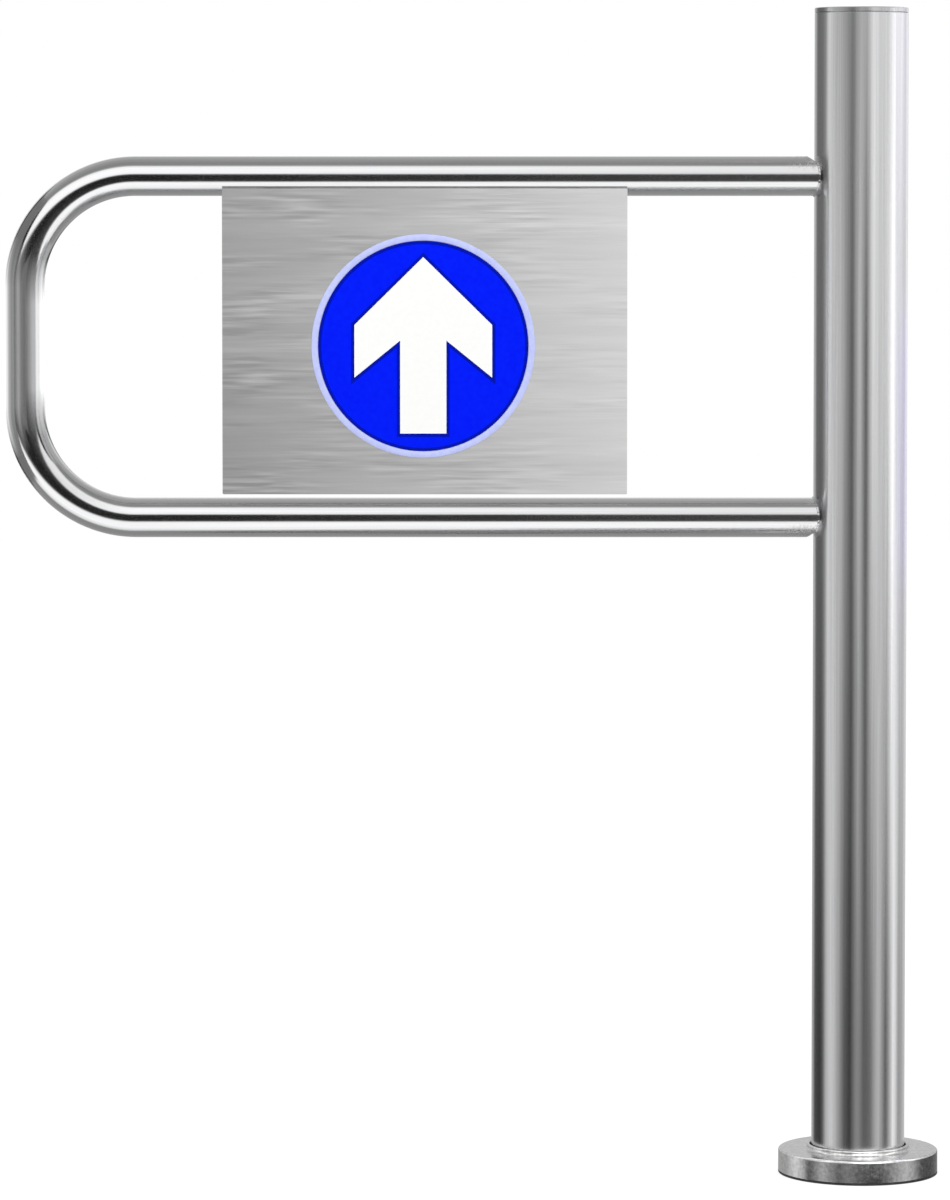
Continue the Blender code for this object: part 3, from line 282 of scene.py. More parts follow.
# painted shade: the black rubber ring also stands for the shade along the cover's foot
gasket_section = ring_section(cover_inside, cover_radius, gasket_low.z, gasket_high.z, EDGE_BREAK)
place("rubber_shade_ring", turned_rings(gasket_section, ROUND_SIDES), "base", "black_rubber", "base_gasket",
      loop=True)
print("cover:", round(2000 * cover_radius, 1), "mm across")

# %% [markdown]
# ## The arm
# One tube leaves the post, turns down at the far end and comes back. Before welding, the outer corner
# of each end is ground off aslant, and the end is coped, which means cut to a saddle that fits the
# round post. A swept curve can do neither, but rings can: near the post each point is held under a
# slanting limit, and each point of the last ring is pushed along X until it touches the post.

# %% Sweep the arm
ARM_SIDES = 72
BEND_STEPS = 36
RAIL_STEPS = 24
END_STEPS = 8
END_LENGTH = 0.0055
END_DEPTH = 0.0042
bend_x = arm_low.x + ARM_RADIUS + BEND_RADIUS
rail_start = -(POST_RADIUS + END_LENGTH)


def rail_end(height):
    """Places along the ground end of a rail, from the post outwards, each with the depth ground off."""
    return [((-POST_RADIUS - END_LENGTH * step / END_STEPS, height), END_DEPTH * (1 - step / END_STEPS))
            for step in range(END_STEPS)]


def arm_path():
    """The arm's centre line in the XZ plane, with the depth ground off its outer side at each place."""
    upper = arc((bend_x, UPPER_RAIL - BEND_RADIUS), BEND_RADIUS, QUARTER, HALF_TURN, BEND_STEPS)
    lower = arc((bend_x, LOWER_RAIL + BEND_RADIUS), BEND_RADIUS, HALF_TURN, 3 * QUARTER, BEND_STEPS)
    run = [rail_start + (bend_x - rail_start) * step / RAIL_STEPS for step in range(RAIL_STEPS)]
    path = rail_end(UPPER_RAIL)
    path += [((x, UPPER_RAIL), 0.0) for x in run] + [(point, 0.0) for point in upper + lower]
    path += [((x, LOWER_RAIL), 0.0) for x in reversed(run)]
    return path + rail_end(LOWER_RAIL)[::-1]


def arm_rings(inset):
    """Rings round the arm's centre line, the first and the last pushed onto the post."""
    path = arm_path()
    rings = []
    for number, ((x, z), ground) in enumerate(path):
        (x0, z0), (x1, z1) = path[max(number - 1, 0)][0], path[min(number + 1, len(path) - 1)][0]
        along = Vector((x1 - x0, 0.0, z1 - z0)).normalized()
        inwards = Vector((-along.z, 0.0, along.x))
        ring = []
        for side in turns_of(ARM_SIDES):
            turn = side + QUARTER
            reach = max((ARM_RADIUS - inset) * math.cos(turn), ground + inset - ARM_RADIUS)
            point = Vector((x, 0.0, z)) + reach * inwards
            point.y = (ARM_RADIUS - inset) * math.sin(turn)
            if number in (0, len(path) - 1):
                point.x = -math.sqrt((POST_RADIUS + SEAT_GAP) ** 2 - point.y ** 2)
            ring.append(tuple(point))
        rings.append(ring)
    return rings


arm_skin = arm_rings(0.0) + arm_rings(ARM_WALL)[::-1]
place("arm", arm_skin, "gate", "polished_stainless", "arm_tube", loop=True)
print("arm:", len(dressed["arm"].data.polygons), "faces")

# %% [markdown]
# ## The weld beads
# Where a rail meets the post there is a thin dressed weld. It is a ring of small radius that follows
# the saddle, half sunk in both tubes. Without it the two pieces would look merely pushed together.

# %% Lay the weld beads
BEAD_RADIUS = 0.0009
BEAD_SIDES = 12
BEAD_STEPS = 120
BEAD_RIPPLE = 0.12
BEAD_RIPPLES = 30


def bead_rings(height, towards_middle):
    """Rings of a rippled bead that follows the saddle where a rail's ground end meets the post."""
    away = Vector((-1.0, 0.0, 0.0))
    rings = []
    for turn in turns_of(BEAD_STEPS):
        outward = Vector((0.0, math.sin(turn), towards_middle * math.cos(turn)))
        inwards = max(ARM_RADIUS * math.cos(turn), END_DEPTH - ARM_RADIUS)
        y = ARM_RADIUS * outward.y
        saddle = Vector((-math.sqrt(POST_RADIUS ** 2 - y ** 2), y, height + towards_middle * inwards))
        radius = BEAD_RADIUS * (1 + BEAD_RIPPLE * math.sin(BEAD_RIPPLES * turn))
        rings.append([tuple(saddle + radius * (math.cos(s) * outward + math.sin(s) * away))
                      for s in turns_of(BEAD_SIDES)])
    return rings


for where, height, towards_middle in (("upper", UPPER_RAIL, -1.0), ("lower", LOWER_RAIL, 1.0)):
    place(f"{where}_weld_bead", bead_rings(height, towards_middle), "gate", "polished_stainless", loop=True)
print("weld beads at", round(UPPER_RAIL, 3), "and", round(LOWER_RAIL, 3))

# %% [markdown]
# ## The plate and its printed sign
# The plate is sheet steel and the sign is three films. Each is a flat outline given a thickness. A
# sheared or punched edge is never perfectly sharp, so the outline is drawn in a little at both faces:
# a few rings of one shape, skinned like everything else. Drawing an outline in is moving each corner
# along the middle of its two sides.

# %% Flat pieces with eased rims
def drawn_in(outline, distance):
    """An outline, given counterclockwise, with every side moved inwards by a distance."""
    moved_in = []
    for number, (x, z) in enumerate(outline):
        before, after = outline[number - 1], outline[(number + 1) % len(outline)]
        side_in = Vector((x - before[0], z - before[1])).normalized()
        side_out = Vector((after[0] - x, after[1] - z)).normalized()
        left_in, left_out = Vector((-side_in.y, side_in.x)), Vector((-side_out.y, side_out.x))
        miter = (left_in + left_out) / (1 + left_in.dot(left_out))
        moved_in.append((x + distance * miter.x, z + distance * miter.y))
    return moved_in


def stacked(rows):
    """Rings from flat outlines, each at its own place in Y."""
    return [[(x, y, z) for x, z in outline] for outline, y in rows]


def flat_rings(outline, back, front, rim):
    """Rings of a flat piece that faces -Y, from its back to its front, its rims eased."""
    eased = drawn_in(outline, rim)
    half = drawn_in(outline, rim * (1 - math.sin(QUARTER / 2)))
    shift = rim * (1 - math.cos(QUARTER / 2))
    return stacked(((eased, back), (half, back - shift), (outline, back - rim),
                    (outline, front + rim), (half, front + shift), (eased, front)))


print("a square drawn in by a tenth:", drawn_in(((0, 0), (1, 0), (1, 1), (0, 1)), 0.1))

# %% Cut the plate
PLATE_CORNER = 0.0010
PLATE_RIM = 0.00012
plate_outline = rounded_box(panel_low.x, panel_low.z, panel_high.x, panel_high.z, PLATE_CORNER)
place("plate", flat_rings(plate_outline, panel_high.y, panel_low.y, PLATE_RIM), "gate", "brushed_stainless",
      "sign_panel")
plate_size = panel_high - panel_low
print("plate:", round(1000 * plate_size.x), "by", round(1000 * plate_size.z), "mm")

# %% [markdown]
# The disc and its border are round films, and the arrow is a polygon whose sizes are shares of the
# disc's radius. A printed sign has a fine darker line wherever two inks meet, so the blue film carries
# two such lines: a ring inside the border and a seam round the arrow. Each is a very thin raised
# outline of its own, because a line drawn in a texture would blur when seen from near.

# %% Lay the films
FILM_RIM = 0.00008
FILM_SIDES = 160
FINE_STEPS = 2
SEAM_WIDTH = 0.0026
SEAM_HEIGHT = 0.00015
HALF_ARROW = ((0.0, 0.845), (-0.655, 0.20), (-0.655, -0.30), (-0.220, 0.052), (-0.220, -0.832))
border_low, border_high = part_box("sign_border")
disc_low, disc_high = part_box("sign_disc")
arrow_low, arrow_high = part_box("sign_arrow")
sign_centre = (border_low + border_high) / 2
border_radius = (border_high.x - border_low.x) / 2
disc_radius = (disc_high.x - disc_low.x) / 2
mirrored = [(-across, up) for across, up in reversed(HALF_ARROW[1:])]
arrow_outline = [(sign_centre.x + disc_radius * across, sign_centre.z + disc_radius * up)
                 for across, up in list(HALF_ARROW) + mirrored]


def film_ring(inner, outer, front, back, rim):
    """Rings of a flat ring about the sign's axis that faces -Y."""
    rings = turned_rings(ring_section(inner, outer, front, back, rim, FINE_STEPS), FILM_SIDES)
    return [[(sign_centre.x + x, z, sign_centre.z + y) for x, y, z in ring] for ring in rings]


border_rings = film_ring(disc_radius + SEAT_GAP, border_radius, border_low.y, border_high.y, FILM_RIM)
place("sign_border_film", border_rings, "gate", "pale_film", "sign_border", loop=True)
disc_outline = arc((sign_centre.x, sign_centre.z), disc_radius, 0.0, FULL_TURN, FILM_SIDES)[:-1]
disc_rings = flat_rings(disc_outline, disc_high.y, disc_low.y, FILM_RIM)
place("sign_disc_film", disc_rings, "gate", "blue_film", "sign_disc")
arrow_rings = flat_rings(arrow_outline, arrow_high.y, arrow_low.y, FILM_RIM)
place("sign_arrow_film", arrow_rings, "gate", "white_film", "sign_arrow")

seam_back = disc_low.y + FILM_RIM
seam_front = disc_low.y - SEAM_HEIGHT
seam_rings = film_ring(disc_radius - SEAM_WIDTH, disc_radius, seam_front, seam_back, FILM_RIM / 2)
place("sign_disc_line", seam_rings, "gate", "blue_film", loop=True)
wide, narrow = drawn_in(arrow_outline, -SEAM_WIDTH), drawn_in(arrow_outline, SEAM_WIDTH)
seam_rows = ((wide, seam_back), (wide, seam_front), (narrow, seam_front), (narrow, seam_back))
place("sign_arrow_line", stacked(seam_rows), "gate", "blue_film", loop=True)
print("sign:", round(2000 * border_radius, 1), "mm across")

# %% [markdown]
# ## Threads, nuts and washers
# Screws are what a close look goes to first. A thread is a rod whose radius rises and falls along its
# length, with the pattern turned a little at each step round it: that turns rings into one climbing
# ridge, with no need of a Screw modifier. A nut is a ring of points on a hexagon, held inside a cone at
# both faces, which gives the curved chamfers of the real one for nothing.

# %% Rings of a thread
THREAD_DEPTH = 0.55
THREAD_STEPS = 8
THREAD_SIDES = 36


def thread_rings(radius, pitch, low, high):
    """Rings of a threaded rod about Z, its ridge fading into a chamfer at both ends."""
    rows = round((high - low) / pitch * THREAD_STEPS)
    rings = []
    for row in range(rows + 1):
        climb = (high - low) * row / rows
        fade = min(1.0, climb / pitch, (high - low - climb) / pitch)
        ring = []
        for side, turn in enumerate(turns_of(THREAD_SIDES)):
            ridge = abs(2 * ((climb / pitch - side / THREAD_SIDES) % 1.0) - 1)
            reach = radius - THREAD_DEPTH * pitch * (1 - min(ridge, fade))
            ring.append((reach * math.cos(turn), reach * math.sin(turn), low + climb))
        rings.append(ring)
    return rings


print("each turn of a thread takes", THREAD_STEPS, "rings of", THREAD_SIDES, "points")

# %% Rings of a nut
NUT_SIDES = 48
NUT_FACE = 0.95
CHAMFER_STEPS = 4
SIXTH = FULL_TURN / 6
BORE_EASE = 0.0004


def nut_rings(across_flats, bore, low, high):
    """Rings of a hexagonal nut about Z, from its outside round to its bore."""
    face = NUT_FACE * across_flats / 2
    corner = across_flats / 2 / math.cos(SIXTH / 2)
    ease = (corner - face) * math.tan(SIXTH / 2)
    shares = [step / CHAMFER_STEPS for step in range(CHAMFER_STEPS + 1)]
    rows = [(low + ease * share, face + (corner - face) * share) for share in shares]
    rows += [(high - ease * share, face + (corner - face) * share) for share in reversed(shares)]
    rows += [(high, bore + BORE_EASE), (high - BORE_EASE, bore)]
    rows += [(low + BORE_EASE, bore), (low, bore + BORE_EASE)]
    turns = turns_of(NUT_SIDES)
    hexagon = [across_flats / 2 / math.cos(turn % SIXTH - SIXTH / 2) for turn in turns]
    return [[(min(h, limit) * math.cos(t), min(h, limit) * math.sin(t), z) for t, h in zip(turns, hexagon)]
            for z, limit in rows]


print("a nut takes", len(nut_rings(1.0, 0.5, 0.0, 1.0)), "rings of", NUT_SIDES, "points")


# %% Dress a stud and its nut
def moved(rings, centre):
    """Rings about Z moved sideways to a centre."""
    return [[(centre.x + x, centre.y + y, z) for x, y, z in ring] for ring in rings]


def laid_back(rings, centre):
    """Rings about Z laid down about a centre, so that their axis points along +Y."""
    return [[(centre.x + x, z, centre.z - y) for x, y, z in ring] for ring in rings]


def dress_stud(stud, nut, pitch, body, lay, along, aside):
    """Dress a stud with a thread and its nut with a hexagon. Gives the stud's radius and centre."""
    low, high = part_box(stud)
    nut_low, nut_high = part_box(nut)
    centre = (low + high) / 2
    radius = (high.x - low.x) / 2
    across = min(nut_high.x - nut_low.x, nut_high[aside] - nut_low[aside])
    rod = thread_rings(radius, pitch, low[along], high[along])
    shaped = nut_rings(across, radius + SEAT_GAP, nut_low[along], nut_high[along])
    place(f"{stud}_thread", lay(rod, centre), body, "zinc_steel", stud)
    place(f"{nut}_shaped", lay(shaped, centre), body, "zinc_steel", nut, loop=True)
    return radius, centre


anchors = sorted(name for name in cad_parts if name.startswith("anchor_stud"))
studs = sorted(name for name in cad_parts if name.startswith("panel_stud"))
print("studs to dress:", len(anchors), "in the floor and", len(studs), "on the plate")

# %% The floor anchors under the cover
M8_PITCH = 0.00125
WASHER_EDGE = 0.0003
Y_AXIS, Z_AXIS = 1, 2
for stud in anchors:
    number = stud.rsplit("_", 1)[1]
    nut, washer = f"anchor_nut_{number}", f"anchor_washer_{number}"
    radius, centre = dress_stud(stud, nut, M8_PITCH, "base", moved, Z_AXIS, Y_AXIS)
    low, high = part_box(washer)
    section = ring_section(radius + SEAT_GAP, (high.x - low.x) / 2, low.z, high.z, WASHER_EDGE, FINE_STEPS)
    rings = moved(turned_rings(supported(section), NUT_SIDES), centre)
    place(f"{washer}_eased", rings, "base", "zinc_steel", washer, loop=True)
print("anchors dressed:", len(anchors))

# %% [markdown]
# ## Hangers behind the plate
# The plate hangs from two small tabs. Each tab is welded under the upper rail, so its top edge is cut to
# the rail's curve, and two weld studs of the plate pass through it with a nut each. All this shows only
# from behind, but the gate is seen from there as often as from the front.

# %% Make the hangers
HANGER_CORNER = 0.002
HANGER_RIM = 0.0003
WELD_RADIUS = 0.0012
WELD_STEP = 0.0004
WELD_RIPPLE_LENGTH = 0.0017
WELD_RIPPLE = 0.1
WELD_TIP = 0.1
M5_PITCH = 0.0008


def hanger_rings(low, high):
    """Rings of a tab from its back to its front, its top edge following the rail."""
    rows = []
    for y, rim in ((high.y, HANGER_RIM), (high.y - HANGER_RIM, 0.0), ((low.y + high.y) / 2, 0.0),
                   (low.y + HANGER_RIM, 0.0), (low.y, HANGER_RIM)):
        top = UPPER_RAIL - math.sqrt((ARM_RADIUS + SEAT_GAP) ** 2 - y ** 2)
        rows.append((rounded_box(low.x + rim, low.z + rim, high.x - rim, top, HANGER_CORNER), y))
    return stacked(rows)


def weld_rings(low, high):
    """Rings of a rippled bead along the tab's top, in the corner between tab and rail."""
    y = high.y
    z = UPPER_RAIL - math.sqrt(ARM_RADIUS ** 2 - y ** 2) - SEAT_GAP
    x = low.x + HANGER_CORNER
    rings = []
    while x < high.x - HANGER_CORNER:
        from_end = min(x - low.x - HANGER_CORNER, high.x - HANGER_CORNER - x) / WELD_RADIUS
        ripple = 1 + WELD_RIPPLE * math.sin(FULL_TURN * x / WELD_RIPPLE_LENGTH)
        radius = WELD_RADIUS * min(1.0, math.sqrt(WELD_TIP + from_end)) * ripple
        rings.append([(x, y + radius * math.cos(side), z + radius * math.sin(side))
                      for side in turns_of(BEAD_SIDES)])
        x += WELD_STEP
    return rings


for where in ("left", "right"):
    low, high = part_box(f"panel_hanger_{where}")
    place(f"hanger_{where}", hanger_rings(low, high), "gate", "brushed_stainless", f"panel_hanger_{where}")
    place(f"hanger_weld_{where}", weld_rings(low, high), "gate", "brushed_stainless")
for stud in studs:
    dress_stud(stud, stud.replace("stud", "nut"), M5_PITCH, "gate", laid_back, Y_AXIS, Z_AXIS)
print("plate fixings:", len(studs), "studs and nuts")

# %% [markdown]
# ## The closing spring
# Inside the post a heavy coil spring pushes the cam follower down and so swings the gate shut. It is a
# wire swept along a helix whose end turns lie close. It shortens by the cam's lift when the gate opens,
# squashed along its axis towards the seat above it; here it is wound at one length only.

# %% Wind the spring
SPRING_WIRE = 0.0065
SPRING_TURNS = 7
SPRING_RADIUS = 0.02285
SPRING_END_PITCH = 0.0071
SPRING_BOTTOM = 0.7934
SPRING_LENGTH = 0.075
TURN_STEPS = 48
WIRE_SIDES = 20
WIRE_TIP = 0.8
WIRE_TIP_GROWTH = 0.1


def spring_rings():
    """Rings round the wire, from the lower end turn to the upper one, its two ends rounded."""
    middle_pitch = (SPRING_LENGTH - SPRING_WIRE - 2 * SPRING_END_PITCH) / (SPRING_TURNS - 2)
    steps = SPRING_TURNS * TURN_STEPS
    rings = []
    for step in range(steps + 1):
        turns = step / TURN_STEPS
        close = min(turns, 1.0) + max(turns - SPRING_TURNS + 1, 0.0)
        climb = SPRING_END_PITCH * close + middle_pitch * (turns - close)
        heading = FULL_TURN * turns
        outward = Vector((math.cos(heading), math.sin(heading), 0.0))
        radius = SPRING_WIRE / 2 * min(1.0, WIRE_TIP + WIRE_TIP_GROWTH * min(step, steps - step))
        centre = SPRING_RADIUS * outward + Vector((0.0, 0.0, SPRING_BOTTOM + SPRING_WIRE / 2 + climb))
        rings.append([tuple(centre + radius * (math.cos(s) * outward + Vector((0.0, 0.0, math.sin(s)))))
                      for s in turns_of(WIRE_SIDES)])
    return rings


coil = place("spring_coil", spring_rings(), "gate", "spring_steel", "closing_spring")
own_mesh(coil)
print("spring:", SPRING_TURNS, "turns,", round(1000 * SPRING_LENGTH), "mm long")

# %% [markdown]
# ## Materials without pictures
# Every finish below is made of nodes alone, so it has no resolution and no file to lose. They share one
# idea: a noise, stretched to the shape of the grain, drives colour, roughness and bump a little at a
# time. Small amounts in all three look like a real surface, while a large amount in one looks painted.
# A few helpers keep the trees short: one makes a node with its inputs, others make a noise and bring
# it into a range.

# %% Make nodes and a finish
def make(tree, kind, inputs, **settings):
    """A shader node with its settings. Each input is a value of its own or another node's output."""
    new = tree.nodes.new("ShaderNode" + kind)
    for name, value in settings.items():
        setattr(new, name, value)
    for key, value in inputs.items():
        if isinstance(value, bpy.types.NodeSocket):
            tree.links.new(value, new.inputs[key])
        else:
            new.inputs[key].default_value = value
    return new


def sums(tree, operation, *values):
    """One sum of one or two values."""
    return make(tree, "Math", dict(enumerate(values)), operation=operation).outputs[0]


def new_finish(name, colour, metallic, roughness):
    """A material with one Principled shader, and its node tree."""
    finish = bpy.data.materials.new(name)
    finish.use_nodes = True
    tree = finish.node_tree
    shader = tree.nodes["Principled BSDF"]
    shader.inputs["Base Color"].default_value = (*colour, 1.0)
    shader.inputs["Metallic"].default_value = metallic
    shader.inputs["Roughness"].default_value = roughness
    return finish, tree, shader


finishes = {}
print("plain materials of the packed solids:", len(bpy.data.materials))

# %% Places, noises and colours
NOISE_LOW = 0.32
NOISE_HIGH = 0.68


def piece_place(tree, stretch):
    """Places in the piece's own space, in metres, stretched by one number or by one for each axis."""
    where = make(tree, "TexCoord", {}).outputs["Object"]
    factors = stretch if isinstance(stretch, tuple) else (stretch,) * 3
    return make(tree, "VectorMath", {0: where, 1: factors}, operation="MULTIPLY").outputs[0]


def tube_place(tree, along, around):
    """Places on a tube from its map. The way round becomes a circle, so that the grain has no seam."""
    flat = make(tree, "UVMap", {}, uv_map=GRAIN_MAP).outputs[0]
    split = make(tree, "SeparateXYZ", {0: flat})
    turn = sums(tree, "MULTIPLY", split.outputs[1], FULL_TURN)
    circle = [sums(tree, "MULTIPLY", sums(tree, side, turn), around) for side in ("COSINE", "SINE")]
    length = sums(tree, "MULTIPLY", split.outputs[0], along)
    return make(tree, "CombineXYZ", {0: length, 1: circle[0], 2: circle[1]}).outputs[0]


def noise_on(tree, places, detail):
    """A soft noise between zero and one."""
    inputs = {"Vector": places, "Scale": 1.0, "Detail": detail}
    return make(tree, "TexNoise", inputs).outputs["Fac"]


def noise(tree, stretch, detail):
    """A soft noise in the piece's own space."""
    return noise_on(tree, piece_place(tree, stretch), detail)


def ranged(tree, value, low, high, start=NOISE_LOW, end=NOISE_HIGH):
    """A value brought into a range of its own."""
    inputs = {"Value": value, "From Min": start, "From Max": end, "To Min": low, "To Max": high}
    return make(tree, "MapRange", inputs).outputs["Result"]


def blend_colours(tree, share, first, second):
    """A colour between two colours."""
    colours = {0: share}
    for socket, colour in ((6, first), (7, second)):
        colours[socket] = colour if isinstance(colour, bpy.types.NodeSocket) else (*colour, 1.0)
    return make(tree, "Mix", colours, data_type="RGBA").outputs[2]


def drive(tree, shader, colour, roughness, height, depth):
    """Let nodes drive the shader's colour, roughness and bump."""
    tree.links.new(colour, shader.inputs["Base Color"])
    tree.links.new(roughness, shader.inputs["Roughness"])
    bump = make(tree, "Bump", {"Height": height, "Distance": depth})
    tree.links.new(bump.outputs[0], shader.inputs["Normal"])


print("noises are read from", NOISE_LOW, "to", NOISE_HIGH)

# %% [markdown]
# ## Polished steel tube
# A polishing belt leaves hairlines along the tube that are too fine to see one by one, but they soften
# each mirrored edge and make the stripes a little uneven. Three noises do that: a fine one stretched
# along the tube, a slow one for the faint smudges of handling, and a speckle of tiny duller dots. Near
# its welds the arm is heat marked on the rails' outer sides: a duller, slightly darker and warmer
# blotch that a brush has cleaned but not removed.

# %% Make the polished steel
STEEL_DARK = (0.580, 0.582, 0.590)
STEEL_LIGHT = (0.652, 0.653, 0.658)
# painted shade: the cap's steel is a darker copy of the post's polished steel, to make its rim look darker
CAP_SHADED_DARK = (0.47, 0.47, 0.475)
CAP_SHADED_LIGHT = (0.53, 0.53, 0.535)
HAIRLINES = (6.0, 34.0)
HAIRLINE_DEPTH = 0.0000006
SMUDGES = (16.0, 16.0, 11.0)
SPECKLE = 700.0
MARK_COLOUR = (0.46, 0.43, 0.39)
MARK_FADE = (-0.064, -0.050)
MARK_SIDE = (0.0030, 0.0070)
MARK_BLOTCHES = 420.0
MARK_RANGE = (0.45, 0.58)
MARK_DARKER = 0.20
MARK_DULLER = 0.24
rail_half = (UPPER_RAIL - LOWER_RAIL) / 2


def heat_marks(tree):
    """One on the blotches beside the welds, zero elsewhere."""
    where = make(tree, "SeparateXYZ", {0: piece_place(tree, 1.0)})
    near = ranged(tree, where.outputs[0], 0.0, 1.0, *MARK_FADE)
    from_middle = sums(tree, "SUBTRACT", where.outputs[2], (UPPER_RAIL + LOWER_RAIL) / 2)
    away = sums(tree, "ABSOLUTE", from_middle)
    outer = ranged(tree, away, 0.0, 1.0, *(rail_half + side for side in MARK_SIDE))
    blotches = ranged(tree, noise(tree, MARK_BLOTCHES, 3.0), 0.0, 1.0, *MARK_RANGE)
    return sums(tree, "MULTIPLY", sums(tree, "MULTIPLY", near, outer), blotches)


def polished_finish(name, smooth, rough, dark=STEEL_DARK, light=STEEL_LIGHT, marked=False):
    """Polished tube with hairlines along it, and heat marks beside the welds if it is marked."""
    finish, tree, shader = new_finish(name, light, 1.0, smooth)
    hairlines = noise_on(tree, tube_place(tree, *HAIRLINES), 5.0)
    smudges = noise(tree, SMUDGES, 4.0)
    speckle = noise(tree, SPECKLE, 2.0)
    colour = blend_colours(tree, ranged(tree, hairlines, 0.0, 1.0), dark, light)
    roughness = sums(tree, "ADD", ranged(tree, smudges, smooth, rough), ranged(tree, speckle, -0.01, 0.01))
    if marked:
        mark = heat_marks(tree)
        colour = blend_colours(tree, sums(tree, "MULTIPLY", mark, MARK_DARKER), colour, MARK_COLOUR)
        roughness = sums(tree, "ADD", roughness, sums(tree, "MULTIPLY", mark, MARK_DULLER))
    drive(tree, shader, colour, roughness, hairlines, HAIRLINE_DEPTH)
    return finish


finishes["polished_stainless"] = polished_finish("polished post steel", 0.140, 0.165)
finishes["arm"] = polished_finish("polished arm steel", 0.130, 0.160, marked=True)
finishes["upper_weld_bead"] = finishes["lower_weld_bead"] = finishes["arm"]
# painted shade: the cap takes the darker copy of the polished steel
finishes["post_cap"] = polished_finish("polished cap steel painted darker", 0.15, 0.18, CAP_SHADED_DARK, CAP_SHADED_LIGHT)
print("polished finishes for:", ", ".join(finishes))

# %% [markdown]
# ## Satin steel of the base cover
# The cover is stood on, kicked and mopped, so it is duller than the post. Its finish is turned: rings
# about the centre on top, a fine speckle of wear over everything, and slow patches that shoes have
# rubbed brighter.

# %% Make the satin steel
SATIN_DARK = (0.50, 0.50, 0.495)
SATIN_LIGHT = (0.69, 0.69, 0.69)
SATIN_DEPTH = 0.000018
TURNED_RINGS = (900.0, 1.5)
SPECKS = 330.0
WEAR_PATCHES = 45.0


def satin_finish():
    """Turned steel with worn specks."""
    finish, tree, shader = new_finish("satin cover steel", STEEL_LIGHT, 1.0, 0.22)
    turned = noise_on(tree, tube_place(tree, *TURNED_RINGS), 3.0)
    specks = noise(tree, SPECKS, 5.0)
    wear = noise(tree, WEAR_PATCHES, 3.0)
    height = sums(tree, "ADD", specks, sums(tree, "MULTIPLY", turned, 0.35))
    colour = blend_colours(tree, ranged(tree, specks, 0.0, 1.0), SATIN_DARK, SATIN_LIGHT)
    roughness = sums(tree, "ADD", ranged(tree, wear, 0.15, 0.22), ranged(tree, specks, -0.03, 0.03))
    drive(tree, shader, colour, roughness, height, SATIN_DEPTH)
    return finish


finishes["cover"] = satin_finish()
print("made", finishes["cover"].name)

# %% [markdown]
# ## Brushed steel of the plate
# Brushed sheet is drawn under an abrasive belt, so its scratches are long, straight and all one way.
# The picture shows them as pale and dark streaks a few centimetres long and a millimetre or two high,
# plainer on the left. Four noises stretched along X give them: broad streaks, fine lines, wide faint
# bands, and a slow one that decides where streaks are plain. The plate's colour is also painted a
# little lighter to the right, as painted light. The shader's anisotropy spreads the shine up and down,
# across the scratches, as the real grain does.

# %% Make the brushed steel
BROAD_STREAKS = (17.0, 60.0, 330.0)
FINE_LINES = (40.0, 60.0, 1300.0)
STREAK_AREAS = (9.0, 9.0, 34.0)
WIDE_BANDS = (3.0, 30.0, 65.0)
FINE_SHARE = 0.12
BAND_SHARE = 0.30
BRUSHED_DARK = (0.47, 0.47, 0.47)
BRUSHED_LIGHT = (0.73, 0.73, 0.73)
BRUSH_DEPTH = 0.0000035


def brushed_finish():
    """Steel sheet brushed along X, its colour painted lighter to the right as painted light."""
    finish, tree, shader = new_finish("brushed plate steel", STEEL_LIGHT, 1.0, 0.34)
    shader.inputs["Anisotropic"].default_value = 0.55
    shader.inputs["Anisotropic Rotation"].default_value = 0.25
    broad = noise(tree, BROAD_STREAKS, 2.5)
    fine = noise(tree, FINE_LINES, 2.0)
    areas = noise(tree, STREAK_AREAS, 2.0)
    wide = noise(tree, WIDE_BANDS, 2.0)
    x = make(tree, "SeparateXYZ", {0: piece_place(tree, 1.0)}).outputs[0]
    fading = ranged(tree, x, 1.0, 0.35, panel_low.x, panel_high.x)
    plainness = sums(tree, "MULTIPLY", ranged(tree, areas, 0.15, 1.9, 0.42, 0.70), fading)
    streaks = sums(tree, "MULTIPLY", sums(tree, "SUBTRACT", broad, 0.5), plainness)
    lines = sums(tree, "MULTIPLY", sums(tree, "SUBTRACT", fine, 0.5), FINE_SHARE)
    bands = sums(tree, "MULTIPLY", sums(tree, "SUBTRACT", wide, 0.5), BAND_SHARE)
    # painted light: the plate's colour grows a little lighter from its left edge to its right
    bands = sums(tree, "ADD", bands, ranged(tree, x, -0.06, 0.06, panel_low.x, panel_high.x))
    grain = sums(tree, "ADD", sums(tree, "ADD", streaks, lines), bands)
    colour = blend_colours(tree, ranged(tree, grain, 0.0, 1.0, -0.2, 0.2), BRUSHED_DARK, BRUSHED_LIGHT)
    roughness = ranged(tree, sums(tree, "ADD", fine, streaks), 0.29, 0.39)
    height = sums(tree, "ADD", sums(tree, "MULTIPLY", fine, 0.5), sums(tree, "MULTIPLY", broad, 0.6))
    drive(tree, shader, colour, roughness, height, BRUSH_DEPTH)
    return finish


finishes["brushed_stainless"] = brushed_finish()
print("made", finishes["brushed_stainless"].name)

# %% [markdown]
# ## Printed films
# The sign is cast vinyl. Its colour is strong and even, with the faintest mottle of the ink and the
# low ripple of a film laid by hand. Its shine is kept very low, because the films of the picture show
# no mirrored light at all.

# %% Make the films
FILM_DEPTH = 0.000004
FILM_RIPPLES = 70.0
FILM_GRAIN = 2600.0
INK_MOTTLE = 240.0
FILM_COLOURS = {
    "blue_film": ("blue vinyl", (0.0012, 0.0140, 0.945), (0.0008, 0.0105, 0.90)),
    "sign_disc_line": ("dark blue vinyl", (0.0010, 0.0090, 0.44), (0.0008, 0.0075, 0.38)),
    "pale_film": ("pale blue vinyl", (0.56, 0.61, 0.95), (0.50, 0.55, 0.93)),
    "white_film": ("white vinyl", (0.955, 0.96, 0.945), (0.935, 0.94, 0.92)),
}


